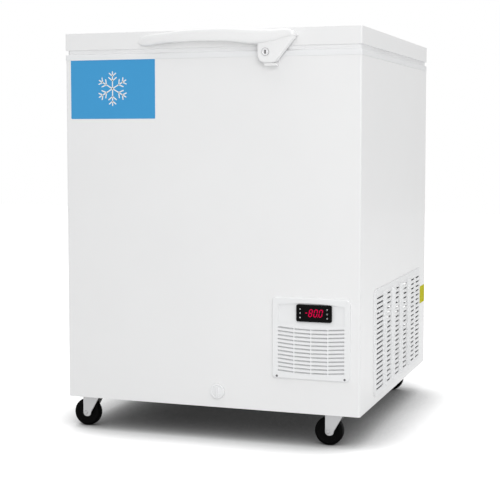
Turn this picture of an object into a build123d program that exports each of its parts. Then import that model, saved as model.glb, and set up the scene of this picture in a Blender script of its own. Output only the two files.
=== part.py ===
from build123d import *
import os

# A small ultra low temperature chest freezer on castors, in millimetres.
# The floor is Z = 0, the front faces -Y, and the origin is under the middle of the cabinet.

# Cabinet and lid
cabinet_width = 710.0
cabinet_depth = 730.0
floor_gap = 76.0  # floor to the lower edge of the cabinet
wrap_height = 792.6  # outer sheet, from its lower edge to the breaker frame
rim_height = 13.4  # plastic breaker frame round the mouth
gasket_height = 10.0
lid_height = 39.0
overhang = 1.0  # breaker frame and lid beyond the outer sheet
sheet = 1.0
corner_radius = 4.0
seat_gap = 0.3  # between foamed or soft pieces and what carries them
running_gap = 0.05  # radial, round pins and shafts
half_width = cabinet_width / 2
half_depth = cabinet_depth / 2
inner_x = half_width - sheet
inner_y = half_depth - sheet
rim_z = floor_gap + wrap_height
seal_z = rim_z + rim_height
lid_z = seal_z + gasket_height
top_z = lid_z + lid_height
lid_x = half_width + overhang
lid_y = half_depth + overhang

# Storage compartment
insulation = 125.0
liner_wall = 1.5
deep_floor = 200.0
plug_depth = 25.0  # lid liner below the lid
plug_gap = 6.0
cavity_x = half_width - insulation
cavity_y = half_depth - insulation

# Machine bay in the lower right of the cabinet
pan_recess = 10.0
pan_sheet = 1.2
bay_left = half_width - 230.0
bay_top = 345.0
step_floor = bay_top + 120.0  # height of the shelf over the machine bay
deep_right = bay_left - 85.0  # right wall of the deep part

# Front machine panel
panel_left = half_width - 201.0
panel_right = half_width - 22.0
panel_low = 153.5
panel_high = 336.0
panel_proud = 7.0
panel_lap = 10.0  # width that lies on the outer sheet
field_left = panel_left + 14.0
field_right = panel_right - 12.0
slot_columns = 4
slot_rows = 12
slot_pitch = 8.8
slot_top = 269.0
slot_height = 3.6
slot_rib = 2.6
slot_sag = 4.0  # the rows hang like a smile
louvre_tilt = 30.0
scoop_depth = 4.0
brow_end = 319.0
brow_middle = 324.5

# Controller
bezel_width = 81.0
bezel_height = 38.0
bezel_thick = 6.0
bezel_left = panel_left + 57.0
bezel_low = 283.5
case_width = 71.0
case_height = 29.0
case_depth = 60.0
window_width = 46.0
window_height = 27.0
key_width = 7.0
key_height = 5.5
key_travel = 0.5
key_stand = 0.8
key_pitch = 9.6

# Side machine grille
side_front = -234.0
side_rear = 288.0
side_low = 94.0
side_high = 342.0
side_proud = 2.5
side_rib_proud = 7.0
side_rib = 9.0
side_slot = 68.0
side_slot_height = 4.2
side_rows = 19
side_pitch = 11.7
side_slot_top = 320.0
side_columns = (-182.0, -102.0, -7.0, 84.0, 179.0, 256.0)
side_ribs = (-142.0, -50.0, 42.0, 137.0)

# Handle and lock
key_x = 143.0
key_z = seal_z - 4.5
lobe_gap = 6.5  # lobe's back to the outer sheet
lobe_proud = 22.0
lobe_wall = 3.0
bezel_ring = 8.2
plug_radius = 5.5
hook_thick = 2.9
hook_reach = 35.0
keeper_high = rim_z - 15.6
keeper_thick = 5.5
keeper_left = key_x - 4.0
keeper_right = key_x + 25.0
finger_depth = 17.5

# Drain
drain_x = deep_right - 18.0
drain_z = 113.0
drain_y = -cavity_y + 40.0
drain_outer = 8.0
drain_bore = 6.0
cap_radius = 17.5
cap_thick = 5.0

# Hinges
hinge_reach = 14.0  # pin behind the outer sheet
hinge_x = half_width - 120.0
hinge_pin = 3.0
ear_gap = 34.0
ear_thick = 3.0
hinge_plate = 3.0

# Castors
wheel_radius = 32.5
wheel_width = 25.0
axle_radius = 4.0
trail = 25.0
castor_x = half_width - 55.0
castor_y = half_depth - 43.0
fork_sheet = 2.5
fork_top = floor_gap
fork_tip = 10.5
fork_width = 43.0
king_pin = 5.0
race_radius = 19.0
plate_side = 60.0
plate_thick = 3.0

# Refrigeration
coil_loops = 5
coil_tube = 8.0
coil_width = 6.0
coil_low = step_floor + 35.0
coil_pitch = (rim_z - coil_low - 64.6) / (coil_loops - 1)
coil_break = cavity_x - 50.0  # middle of the break at the back, over the machine bay
coil_end = 20.0  # from there to each free end
capillary_radius = 1.5
pipe_radius = 4.0
condenser_left = bay_left + 27.0
condenser_right = half_width - 25.0
condenser_low = 100.0
condenser_high = 272.0
condenser_front = -half_depth + 19.0
condenser_thick = 44.0
condenser_passes = 5
fin_count = 12  # folds in each gap
fan_x = half_width - 115.0
fan_z = 186.0
fan_radius = 73.0
fan_shaft = 3.0
shroud_front = -half_depth + 69.0
fan_front = shroud_front + 18.0
shroud_hole = 80.0
compressor_x = half_width - 115.0
compressor_y = 20.0
compressor_radius = 76.0
compressor_height = 178.0

# Places worked out from the sizes above
pan_z = floor_gap + pan_recess
bay_floor = pan_z + pan_sheet
panel_front = -(half_depth + panel_proud)
hinge_y = half_depth + hinge_reach
hinge_z = seal_z + gasket_height / 2
coil_y = cavity_y + liner_wall + seat_gap
coil_high = coil_low + (coil_loops - 1) * coil_pitch + coil_tube / 2
feed_x = coil_break + coil_end + coil_tube / 2
feed_y = coil_y + coil_width / 2
suction_x = coil_break - coil_end - coil_tube / 2
suction_y = coil_y + coil_width + 20


def block(x, y, z, mode=Mode.ADD):
    """A rectangular block between the two limits given on each axis."""
    with Locations((sum(x) / 2, sum(y) / 2, sum(z) / 2)):
        Box(x[1] - x[0], y[1] - y[0], z[1] - z[0], mode=mode)


def drum(radius, start, length, direction, mode=Mode.ADD):
    """A round bar that starts at a point and runs along a direction."""
    with BuildSketch(Plane(origin=start, z_dir=direction)) as section:
        Circle(radius)
    extrude(section.sketch, amount=length, mode=mode)


def prism(sides, radius, start, length, direction, mode=Mode.ADD):
    """A bar with flat sides, from a point along a direction, its corners at the radius."""
    with BuildSketch(Plane(origin=start, z_dir=direction)) as section:
        RegularPolygon(radius, sides)
    extrude(section.sketch, amount=length, mode=mode)


def pipe(points, radius, reach=8.0, mode=Mode.ADD):
    """An eight-sided pipe along straight runs, each corner replaced by a short slanted run."""
    path = [Vector(*point) for point in points]
    line = [path[0]]
    for before, corner, after in zip(path, path[1:], path[2:]):
        line.append(corner + (before - corner).normalized() * reach)
        line.append(corner + (after - corner).normalized() * reach)
    line.append(path[-1])
    with BuildLine() as middle_line:
        Polyline(*line)
    with BuildSketch(Plane(origin=path[0], z_dir=path[1] - path[0])) as section:
        RegularPolygon(radius, 8)
    sweep(section.sketch, path=middle_line.line, transition=Transition.RIGHT, mode=mode)


def save(builder, name):
    """Label a finished piece and write it to its own file."""
    builder.part.label = name
    export_step(builder.part, f"parts/{name}.step")


os.makedirs("parts", exist_ok=True)

# Cabinet wrap: one sheet bent round the front and both sides
panel_opening_x = (panel_left + panel_lap, panel_right - panel_lap)
panel_opening_z = (panel_low + panel_lap, panel_high - panel_lap)
side_opening_y = (side_front + panel_lap, side_rear - panel_lap)
side_opening_z = (side_low + panel_lap, side_high - panel_lap)
with BuildPart() as cabinet_wrap:
    block((-half_width, half_width), (-half_depth, half_depth), (floor_gap, rim_z))
    front_edges = edges().filter_by(Axis.Z).group_by(Axis.Y)[0]
    fillet(front_edges, corner_radius)
    open_ends = faces().filter_by(Axis.Z) + [faces().sort_by(Axis.Y)[-1]]
    offset(amount=-sheet, openings=open_ends)
    block(panel_opening_x, (-half_depth - 1, -inner_y + 1), panel_opening_z, Mode.SUBTRACT)
    block((inner_x - 1, half_width + 1), side_opening_y, side_opening_z, Mode.SUBTRACT)
    drum(drain_outer + seat_gap, (drain_x, -half_depth, drain_z), 2 * sheet, (0, 1, 0), Mode.SUBTRACT)
save(cabinet_wrap, "cabinet_wrap")

# Rear panel between the sides, open at the machine bay
cover_x = (bay_left + 5, inner_x - 5)
cover_z = (bay_floor + 6, bay_top - 4)
cover_lap = 12.0
with BuildPart() as rear_panel:
    block((-inner_x, inner_x), (inner_y, half_depth), (floor_gap, rim_z))
    block(
        (cover_x[0] + cover_lap, cover_x[1] - cover_lap),
        (inner_y - 1, half_depth + 1),
        (cover_z[0] + cover_lap, cover_z[1] - cover_lap),
        Mode.SUBTRACT,
    )
save(rear_panel, "rear_panel")

# Rear cover over the machine bay, with two banks of slots and a hole for the power inlet
inlet_x = half_width - 165.0
inlet_z = 130.0
inlet_width = 27.0
inlet_height = 20.0
cover_slot = (70.0, 5.0)
cover_rows = 9
cover_pitch = 16.0
with BuildPart() as rear_cover:
    block(cover_x, (half_depth, half_depth + sheet), cover_z)
    with BuildSketch(Plane.XZ.offset(-half_depth)):
        slot_middle = (cover_x[0] + cover_x[1]) / 2
        slots_z = (cover_z[0] + cover_z[1]) / 2 + 22
        with Locations((slot_middle, slots_z)):
            with GridLocations(cover_slot[0] + 14, cover_pitch, 2, cover_rows):
                Rectangle(*cover_slot)
    extrude(amount=-sheet, mode=Mode.SUBTRACT)
    block(
        (inlet_x - inlet_width / 2, inlet_x + inlet_width / 2),
        (half_depth, half_depth + sheet),
        (inlet_z - inlet_height / 2, inlet_z + inlet_height / 2),
        Mode.SUBTRACT,
    )
save(rear_cover, "rear_cover")

# Power inlet: a flanged socket with three blades
inlet_flange = 5.0
inlet_flange_thick = 3.0
inlet_depth = 22.0
socket_wall = 1.8
socket_floor = 6.0
with BuildPart() as power_inlet:
    flange_y = half_depth + sheet
    clear = 0.2
    body_x = (inlet_x - inlet_width / 2 + clear, inlet_x + inlet_width / 2 - clear)
    body_z = (inlet_z - inlet_height / 2 + clear, inlet_z + inlet_height / 2 - clear)
    block(body_x, (flange_y - inlet_depth, flange_y), body_z)
    with BuildSketch(Plane.XZ.offset(-flange_y)):
        with Locations((inlet_x, inlet_z)):
            Rectangle(inlet_width + 2 * inlet_flange, inlet_height + 2 * inlet_flange)
            chamfer(vertices(), 3)
    extrude(amount=-inlet_flange_thick)
    block(
        (body_x[0] + socket_wall, body_x[1] - socket_wall),
        (flange_y - inlet_depth + socket_floor, flange_y + inlet_flange_thick),
        (body_z[0] + socket_wall, body_z[1] - socket_wall),
        Mode.SUBTRACT,
    )
    for blade_x, blade_z in ((-7, -2), (7, -2), (0, 3)):
        block(
            (inlet_x + blade_x - 1, inlet_x + blade_x + 1),
            (flange_y - inlet_depth + socket_floor - 1, flange_y - 2),
            (inlet_z + blade_z - 2, inlet_z + blade_z + 2),
        )
save(power_inlet, "power_inlet")

# Base pan: an inverted tray inside the lower edge of the wrap
with BuildPart() as base_pan:
    block((-inner_x, inner_x), (-inner_y, inner_y), (floor_gap, bay_floor))
    fillet(edges().filter_by(Axis.Z), corner_radius)
    rim_in = pan_sheet
    block(
        (-inner_x + rim_in, inner_x - rim_in),
        (-inner_y + rim_in, inner_y - rim_in),
        (floor_gap, pan_z),
        Mode.SUBTRACT,
    )
save(base_pan, "base_pan")

# Bay partition: a bent sheet that closes the machine bay off from the foam
with BuildPart() as bay_partition:
    with BuildSketch(Plane.XZ):
        with BuildLine():
            Polyline(
                (bay_left, bay_floor),
                (bay_left + sheet, bay_floor),
                (bay_left + sheet, bay_top - sheet),
                (inner_x, bay_top - sheet),
                (inner_x, bay_top),
                (bay_left, bay_top),
                close=True,
            )
        make_face()
    extrude(amount=inner_y, both=True)
    fillet(edges().filter_by(Axis.Z).group_by(Axis.X)[-1], corner_radius)
    for x, y, radius in ((feed_x, feed_y, capillary_radius), (suction_x, suction_y, pipe_radius)):
        prism(4, 1.5 * radius + 1, (x, y, bay_top - 2 * sheet), 4 * sheet, (0, 0, 1), Mode.SUBTRACT)
save(bay_partition, "bay_partition")


def compartment(grow, top):
    """The stepped space of the storage compartment, grown by one amount on every wall."""
    with BuildSketch(Plane.XZ) as side_view:
        with BuildLine():
            Polyline(
                (-cavity_x - grow, deep_floor - grow),
                (deep_right + grow, deep_floor - grow),
                (deep_right + grow, step_floor - grow),
                (cavity_x + grow, step_floor - grow),
                (cavity_x + grow, top),
                (-cavity_x - grow, top),
                close=True,
            )
        make_face()
    extrude(side_view.sketch, amount=cavity_y + grow, both=True)


# Inner liner: a stepped tank, open at the top
with BuildPart() as inner_liner:
    compartment(liner_wall, rim_z)
    mouth = faces().sort_by(Axis.Z)[-1]
    offset(amount=-liner_wall, openings=mouth)
    drum(drain_bore, (drain_x, drain_y, deep_floor - 2 * liner_wall), 3 * liner_wall, (0, 0, 1), Mode.SUBTRACT)
save(inner_liner, "inner_liner")


def coil(clear, mode=Mode.ADD):
    """Loops of flat tube round the liner, each broken at the back and joined to the next."""
    inside = cavity_x + liner_wall + seat_gap - clear
    outside = cavity_x + liner_wall + seat_gap + coil_width + clear
    deep_in = coil_y - clear
    deep_out = coil_y + coil_width + clear
    for loop in range(coil_loops):
        low = coil_low + loop * coil_pitch
        with BuildSketch(Plane.XY.offset(low - clear)) as turn:
            Rectangle(2 * outside, 2 * deep_out)
            chamfer(vertices(), coil_width)
            Rectangle(2 * inside, 2 * deep_in, mode=Mode.SUBTRACT)
            with Locations((coil_break, deep_out)):
                Rectangle(2 * (coil_end - clear), 4 * coil_width, mode=Mode.SUBTRACT)
        extrude(turn.sketch, amount=coil_tube + 2 * clear, mode=mode)
        if loop < coil_loops - 1:
            side = 1 if loop % 2 else -1
            near = coil_break + side * (coil_end - clear)
            far = coil_break + side * (coil_end + coil_tube + clear)
            block(
                (min(near, far), max(near, far)),
                (deep_in, deep_out),
                (low + coil_tube / 2, low + coil_pitch + coil_tube / 2),
                mode,
            )


# Evaporator coil on the outside of the liner
with BuildPart() as evaporator_coil:
    coil(0)
save(evaporator_coil, "evaporator_coil")


drain_path = (
    (drain_x, drain_y, deep_floor - liner_wall),
    (drain_x, drain_y, drain_z),
    (drain_x, -half_depth, drain_z),
)
drain_bend = 30.0

# Drain tube from the deep floor to the front
with BuildPart() as drain_tube:
    pipe(drain_path, drain_outer, drain_bend)
    pipe(drain_path, drain_bore + 0.5, drain_bend, Mode.SUBTRACT)
save(drain_tube, "drain_tube")

# Cabinet foam: fills the walls between the sheet, the bay and the liner
with BuildPart() as cabinet_foam:
    block(
        (-inner_x + seat_gap, inner_x - seat_gap),
        (-inner_y + seat_gap, inner_y - seat_gap),
        (bay_floor + seat_gap, rim_z - seat_gap),
    )
    chamfer(edges().filter_by(Axis.Z), corner_radius)
    block(
        (bay_left - seat_gap, inner_x),
        (-inner_y, inner_y),
        (bay_floor, bay_top + seat_gap),
        Mode.SUBTRACT,
    )
    feed_room = coil_width / 2 + 1
    prism(4, feed_room, (feed_x, feed_y, bay_top), coil_low - bay_top, (0, 0, 1), Mode.SUBTRACT)
    pipe_room = pipe_radius + seat_gap
    prism(4, pipe_room * 1.5, (suction_x, suction_y, bay_top), coil_high - bay_top, (0, 0, 1), Mode.SUBTRACT)
    block(
        (suction_x - pipe_room, suction_x + pipe_room),
        (coil_y, suction_y + pipe_room),
        (coil_high - 2.5 * pipe_room, coil_high + pipe_room),
        Mode.SUBTRACT,
    )
with BuildPart() as liner_room:
    compartment(liner_wall + seat_gap, rim_z)
with BuildPart() as coil_room:
    coil(seat_gap)
with BuildPart() as cabinet_foam_cut:
    add(cabinet_foam.part)
    add(liner_room.part, mode=Mode.SUBTRACT)
    add(coil_room.part, mode=Mode.SUBTRACT)
    pipe(drain_path, drain_outer + seat_gap, drain_bend, Mode.SUBTRACT)
save(cabinet_foam_cut, "cabinet_foam")

# Breaker frame: the plastic ring that bridges the wrap and the liner
with BuildPart() as top_frame:
    block((-lid_x, lid_x), (-lid_y, lid_y), (rim_z, seal_z))
    fillet(edges().filter_by(Axis.Z), corner_radius)
    chamfer(edges().group_by(Axis.Z)[-1], 1.5)
    block((-cavity_x, cavity_x), (-cavity_y, cavity_y), (rim_z, seal_z), Mode.SUBTRACT)
save(top_frame, "top_frame")

# Lid skin: a pressed pan with its edges turned down
lid_corner = 4.0
with BuildPart() as lid_skin:
    block((-lid_x, lid_x), (-lid_y, lid_y), (lid_z, top_z))
    fillet(edges().filter_by(Axis.Z), lid_corner)
    offset(amount=-sheet, openings=faces().sort_by(Axis.Z)[0])
    chamfer(edges().group_by(Axis.Z)[-1], sheet / 2)
save(lid_skin, "lid_skin")

# Lid liner: the inner pan, with a plug that drops into the mouth
plug_x = cavity_x - plug_gap
plug_y = cavity_y - plug_gap
lid_in_x = lid_x - sheet
lid_in_y = lid_y - sheet
plug_draft = 10.0
plug_wall = 2.0
with BuildPart() as lid_liner:
    block((-lid_in_x, lid_in_x), (-lid_in_y, lid_in_y), (lid_z, lid_z + plug_wall))
    fillet(edges().filter_by(Axis.Z), lid_corner)
    with BuildSketch(Plane.XY.offset(lid_z)):
        Rectangle(2 * plug_x, 2 * plug_y)
    with BuildSketch(Plane.XY.offset(lid_z - plug_depth)):
        Rectangle(2 * (plug_x - plug_draft), 2 * (plug_y - plug_draft))
    loft()
    with BuildSketch(Plane.XY.offset(lid_z + plug_wall)):
        Rectangle(2 * (plug_x - plug_wall), 2 * (plug_y - plug_wall))
    with BuildSketch(Plane.XY.offset(lid_z - plug_depth + plug_wall)):
        Rectangle(2 * (plug_x - plug_draft - plug_wall), 2 * (plug_y - plug_draft - plug_wall))
    loft(mode=Mode.SUBTRACT)
save(lid_liner, "lid_liner")

# Lid foam between the skin and the liner
with BuildPart() as lid_foam:
    block(
        (-lid_in_x + seat_gap, lid_in_x - seat_gap),
        (-lid_in_y + seat_gap, lid_in_y - seat_gap),
        (lid_z + plug_wall + seat_gap, top_z - sheet - seat_gap),
    )
    chamfer(edges().filter_by(Axis.Z), lid_corner)
    chamfer(edges().group_by(Axis.Z)[-1], 2.5)
    inset = plug_wall + 2 * seat_gap
    with BuildSketch(Plane.XY.offset(lid_z + plug_wall + seat_gap)):
        Rectangle(2 * (plug_x - inset), 2 * (plug_y - inset))
    with BuildSketch(Plane.XY.offset(lid_z - plug_depth + plug_wall + seat_gap)):
        Rectangle(2 * (plug_x - plug_draft - inset), 2 * (plug_y - plug_draft - inset))
    loft()
save(lid_foam, "lid_foam")

# Lid gasket: a soft ring under the lid, set back from its edge
gasket_back = 8.0
gasket_width = 18.0
with BuildPart() as lid_gasket:
    with BuildSketch(Plane.XY.offset(seal_z + seat_gap)):
        RectangleRounded(2 * (half_width - gasket_back), 2 * (half_depth - gasket_back), 8)
        inner = gasket_back + gasket_width
        Rectangle(2 * (half_width - inner), 2 * (half_depth - inner), mode=Mode.SUBTRACT)
    extrude(amount=gasket_height - seat_gap)
save(lid_gasket, "lid_gasket")

# Front machine panel: a moulded louvre grille with a scooped field for the controller
bezel_x = (bezel_left, bezel_left + bezel_width)
bezel_z = (bezel_low, bezel_low + bezel_height)
case_x = sum(bezel_x) / 2
case_z = sum(bezel_z) / 2
scoop_y = panel_front + scoop_depth
field_middle = (field_left + field_right) / 2
field_half = (field_right - field_left) / 2
scoop_low = slot_top + slot_pitch / 2 + 1
ramp = 8.0
with BuildPart() as scoop:
    with BuildSketch(Plane.XZ.offset(-panel_front - scoop_depth)):
        with BuildLine():
            Line((field_left, scoop_low), (field_right, scoop_low))
            Line((field_right, scoop_low), (field_right, brow_end))
            ThreePointArc(
                (field_right, brow_end), (field_middle, brow_middle), (field_left, brow_end)
            )
            Line((field_left, brow_end), (field_left, scoop_low))
        make_face()
        fillet(vertices().group_by(Axis.Z)[1:], 5)
    extrude(amount=scoop_depth + 1)
    with BuildSketch(Plane.YZ.offset(field_left)):
        with BuildLine():
            Polyline(
                (scoop_y, scoop_low),
                (scoop_y, scoop_low + ramp),
                (panel_front - 1, scoop_low - 1),
                (panel_front - 1, scoop_low - 2),
                (scoop_y, scoop_low - 2),
                close=True,
            )
        make_face()
    extrude(amount=field_right - field_left, mode=Mode.SUBTRACT)
with BuildPart() as front_grille:
    with BuildSketch(Plane.XZ.offset(half_depth)):
        with Locations(((panel_left + panel_right) / 2, (panel_low + panel_high) / 2)):
            RectangleRounded(panel_right - panel_left, panel_high - panel_low, 9)
    extrude(amount=panel_proud)
    chamfer(edges().group_by(Axis.Y)[0], 2)
    add(scoop.part, mode=Mode.SUBTRACT)
    block(
        (case_x - case_width / 2, case_x + case_width / 2),
        (panel_front, -half_depth),
        (case_z - case_height / 2, case_z + case_height / 2),
        Mode.SUBTRACT,
    )
    column_width = (field_right - field_left + slot_rib) / slot_columns
    with BuildSketch(Plane.XZ.offset(-panel_front)):
        for column in range(slot_columns):
            x = field_left + column_width * (column + 0.5) - slot_rib / 2
            along = (x - field_middle) / field_half
            drop = slot_sag * (1 - along**2)
            turn = 2 * slot_sag * along / field_half * 57.3
            for row in range(slot_rows):
                with Locations((x, slot_top - row * slot_pitch - drop)):
                    Rectangle(column_width - slot_rib, slot_height, rotation=turn)
    louvre_run = Vector(0, 1, 0).rotate(Axis.X, louvre_tilt)
    extrude(amount=2 * panel_proud, dir=louvre_run, mode=Mode.SUBTRACT)
    screw_z = panel_low + 5.5
    screw_x = (panel_left + 12, panel_right - 11)
    for x in screw_x:
        prism(8, 2.4, (x, panel_front - 1, screw_z), panel_proud + 2, (0, 1, 0), Mode.SUBTRACT)
save(front_grille, "front_grille")

# Panel screws in the lower corners of the front panel
with BuildPart() as panel_screws:
    for x in screw_x:
        prism(12, 3.6, (x, panel_front, screw_z), 1.8, (0, -1, 0))
        prism(6, 2.0, (x, panel_front, screw_z), panel_proud - 0.5, (0, 1, 0))
save(panel_screws, "panel_screws")

# Controller: bezel with a window and two columns of keys, and its case behind the panel
bezel_front = scoop_y - bezel_thick
key_columns = (case_x - bezel_width / 2 + 9.5, case_x + bezel_width / 2 - 9.5)
key_rows = [case_z + key_pitch * step for step in (1, 0, -1)]
key_pocket = 2.5
window_inset = 1.0
key_clear = 0.35
with BuildPart() as controller_bezel:
    with BuildSketch(Plane.XZ.offset(-scoop_y)):
        with Locations((case_x, case_z)):
            RectangleRounded(bezel_width, bezel_height, 4)
    extrude(amount=bezel_thick)
    chamfer(edges().group_by(Axis.Y)[0], 0.8)
    block(
        (case_x - window_width / 2, case_x + window_width / 2),
        (bezel_front, bezel_front + window_inset + 1.5),
        (case_z - window_height / 2, case_z + window_height / 2),
        Mode.SUBTRACT,
    )
    for x in key_columns:
        for z in key_rows:
            block(
                (x - key_width / 2 - key_clear, x + key_width / 2 + key_clear),
                (bezel_front, bezel_front + key_pocket),
                (z - key_height / 2 - key_clear, z + key_height / 2 + key_clear),
                Mode.SUBTRACT,
            )
save(controller_bezel, "controller_bezel")

with BuildPart() as display_window:
    block(
        (case_x - window_width / 2, case_x + window_width / 2),
        (bezel_front + window_inset, bezel_front + window_inset + 1.5),
        (case_z - window_height / 2, case_z + window_height / 2),
    )
save(display_window, "display_window")

case_slack = 0.3
with BuildPart() as controller_case:
    block(
        (case_x - case_width / 2 + case_slack, case_x + case_width / 2 - case_slack),
        (scoop_y, scoop_y + case_depth),
        (case_z - case_height / 2 + case_slack, case_z + case_height / 2 - case_slack),
    )
    chamfer(edges().filter_by(Axis.Y), 1.5)
save(controller_case, "controller_case")

# Six keys, each a pad that travels half a millimetre
for number, (x, z) in enumerate([(x, z) for x in key_columns for z in key_rows], start=1):
    with BuildPart() as key:
        block(
            (x - key_width / 2, x + key_width / 2),
            (bezel_front - key_stand, bezel_front + key_pocket - key_travel - 0.3),
            (z - key_height / 2, z + key_height / 2),
        )
        chamfer(edges().filter_by(Axis.Y), 1)
    save(key, f"controller_key_{number}")

# Side machine grille: slotted plate with upright ribs
with BuildPart() as side_grille:
    with BuildSketch(Plane.YZ.offset(half_width)):
        with Locations(((side_front + side_rear) / 2, (side_low + side_high) / 2)):
            RectangleRounded(side_rear - side_front, side_high - side_low, 12)
    extrude(amount=side_proud)
    with BuildSketch(Plane.YZ.offset(half_width)):
        for y in side_columns:
            width = side_slot if y < side_columns[-1] else side_slot * 0.65
            for row in range(side_rows):
                with Locations((y, side_slot_top - row * side_pitch)):
                    Rectangle(width, side_slot_height)
    extrude(amount=side_proud, mode=Mode.SUBTRACT)
    with BuildSketch(Plane.YZ.offset(half_width + side_proud)):
        for y in side_ribs:
            with Locations((y, (side_low + side_high) / 2)):
                Rectangle(side_rib, side_high - side_low - 24)
    extrude(amount=side_rib_proud, taper=8)
save(side_grille, "side_grille")

# Condenser: flat tubes between two upright headers, with folded fins in each gap
condenser_y = condenser_front + condenser_thick / 2
header_radius = 8.0
header_x = (condenser_left + header_radius, condenser_right - header_radius)
flat_thick = 5.0
flat_deep = 12.0
flat_pitch = (condenser_high - condenser_low - 20) / (condenser_passes - 1)
pass_low = condenser_low + 10
tube_high = pass_low + (condenser_passes - 1) * flat_pitch
with BuildPart() as condenser_tubes:
    for x in header_x:
        prism(8, header_radius, (x, condenser_y, condenser_low), condenser_high - condenser_low, (0, 0, 1))
    for step in range(condenser_passes):
        z = pass_low + step * flat_pitch
        flat_y = (condenser_y - flat_deep / 2, condenser_y + flat_deep / 2)
        block(header_x, flat_y, (z - flat_thick / 2, z + flat_thick / 2))
    for z in (pass_low, tube_high):
        block(
            (condenser_left, header_x[0]),
            (condenser_y - pipe_radius, condenser_y + pipe_radius),
            (z - pipe_radius, z + pipe_radius),
        )
save(condenser_tubes, "condenser_tubes")

fin_sheet = 1.0
fin_x = (header_x[0] + header_radius + 1, header_x[1] - header_radius - 1)
with BuildPart() as condenser_fins:
    fold = (fin_x[1] - fin_x[0]) / fin_count
    for step in range(condenser_passes - 1):
        low = pass_low + step * flat_pitch + flat_thick / 2
        high = low + flat_pitch - flat_thick
        upper = [(fin_x[0] + fold * n, high if n % 2 else low + fin_sheet) for n in range(fin_count + 1)]
        lower = [(x, z - fin_sheet) for x, z in reversed(upper)]
        with BuildSketch(Plane.XZ.offset(-condenser_y)):
            with BuildLine():
                Polyline(*upper, *lower, close=True)
            make_face()
        extrude(amount=condenser_thick / 2 - 4, both=True)
save(condenser_fins, "condenser_fins")

# Fan shroud: a plate with a round mouth, standing on the base pan
riser_x = bay_left + sheet + 14  # the pipes that run beside the bay wall
shroud_x = (bay_left + sheet + 6, inner_x - 6)
shroud_sheet = 1.5
shroud_ring = 14.0
shroud_edge = 7.2
arm_width = 10.0
with BuildPart() as fan_shroud:
    shroud_high = fan_z + shroud_hole + shroud_edge
    block(shroud_x, (shroud_front, shroud_front + shroud_sheet), (bay_floor, shroud_high))
    foot = 22.0
    block(shroud_x, (shroud_front, shroud_front + foot), (bay_floor, bay_floor + shroud_sheet))
    drum(shroud_hole + shroud_sheet, (fan_x, shroud_front, fan_z), shroud_ring, (0, 1, 0))
    drum(shroud_hole, (fan_x, shroud_front - 1, fan_z), shroud_ring + 2, (0, 1, 0), Mode.SUBTRACT)
    notch = pipe_radius + 4
    block(
        (shroud_x[0], riser_x + notch),
        (shroud_front - 1, shroud_front + foot),
        (pass_low - notch, pass_low + notch),
        Mode.SUBTRACT,
    )
save(fan_shroud, "fan_shroud")

# Fan motor on a bracket behind the blades
motor_front = fan_front + 26
motor_radius = 30.0
motor_length = 45.0
with BuildPart() as fan_motor:
    drum(motor_radius, (fan_x, motor_front, fan_z), motor_length, (0, 1, 0))
    drum(fan_shaft + running_gap, (fan_x, motor_front, fan_z), 20, (0, 1, 0), Mode.SUBTRACT)
    post_y = (motor_front + 8, motor_front + 28)
    block((fan_x - 14, fan_x + 14), post_y, (bay_floor + 3, fan_z - motor_radius + 4))
    block((fan_x - 34, fan_x + 34), (post_y[0] - 6, post_y[1] + 6), (bay_floor, bay_floor + 3))
save(fan_motor, "fan_motor")

# Fan blades on a hub, with their shaft in the motor
blade_count = 5
hub_radius = 22.0
hub_length = 18.0
blade_pitch = 30.0
with BuildPart() as fan_blades:
    prism(15, hub_radius, (fan_x, fan_front, fan_z), hub_length, (0, 1, 0))
    drum(fan_shaft, (fan_x, fan_front + hub_length, fan_z), motor_front + 18 - fan_front - hub_length, (0, 1, 0))
    blade_reach = fan_radius - hub_radius + 2
    for number in range(blade_count):
        turn = 360 / blade_count * number
        spin = Location((fan_x, fan_front + hub_length / 2, fan_z), (0, 1, 0), turn)
        root = spin * Plane.YZ.offset(hub_radius - 2).location
        tip = spin * Plane.YZ.offset(hub_radius - 2 + blade_reach).location
        with BuildSketch(Plane(root)):
            Rectangle(1.6, 26, rotation=-blade_pitch)
        with BuildSketch(Plane(tip)):
            Rectangle(1.6, 52, rotation=-blade_pitch)
        loft(ruled=True)
save(fan_blades, "fan_blades")

# Compressor: a welded shell on feet, with two nozzles on top
shell_low = bay_floor + 14
nozzle_z = shell_low + compressor_height + 6
nozzles = ((compressor_x - 30, compressor_y - 20), (compressor_x + 30, compressor_y + 30))
shell_round = 34.0
with BuildPart() as compressor_shell:
    with BuildSketch(Plane.XZ.offset(-compressor_y)):
        with BuildLine():
            low = shell_low
            high = shell_low + compressor_height
            edge = compressor_x + compressor_radius
            Polyline(
                (compressor_x, low),
                (edge - shell_round, low),
                (edge, low + shell_round),
                (edge, high - shell_round),
                (edge - shell_round, high - 8),
                (compressor_x, high),
                close=True,
            )
        make_face()
    revolve(axis=Axis((compressor_x, compressor_y, 0), (0, 0, 1)))
    foot_x = 64.0
    foot_y = 58.0
    block(
        (compressor_x - foot_x - 12, compressor_x + foot_x + 12),
        (compressor_y - foot_y - 12, compressor_y + foot_y + 12),
        (shell_low - 3, shell_low),
    )
    for x, y in nozzles:
        prism(8, pipe_radius + 2, (x, y, nozzle_z), 22, (0, 0, -1))
save(compressor_shell, "compressor_shell")

# Rubber feet under the compressor
with BuildPart() as compressor_feet:
    for x in (-foot_x, foot_x):
        for y in (-foot_y, foot_y):
            foot_place = (compressor_x + x, compressor_y + y, bay_floor)
            prism(12, 9, foot_place, shell_low - 3 - bay_floor, (0, 0, 1))
save(compressor_feet, "compressor_feet")

# Terminal box on the side of the compressor
with BuildPart() as terminal_box:
    box_y = compressor_y + compressor_radius + seat_gap
    block(
        (compressor_x - 24, compressor_x + 24),
        (box_y, box_y + 30),
        (shell_low + 34, shell_low + 90),
    )
    chamfer(edges().filter_by(Axis.Y), 4)
save(terminal_box, "terminal_box")

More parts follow.
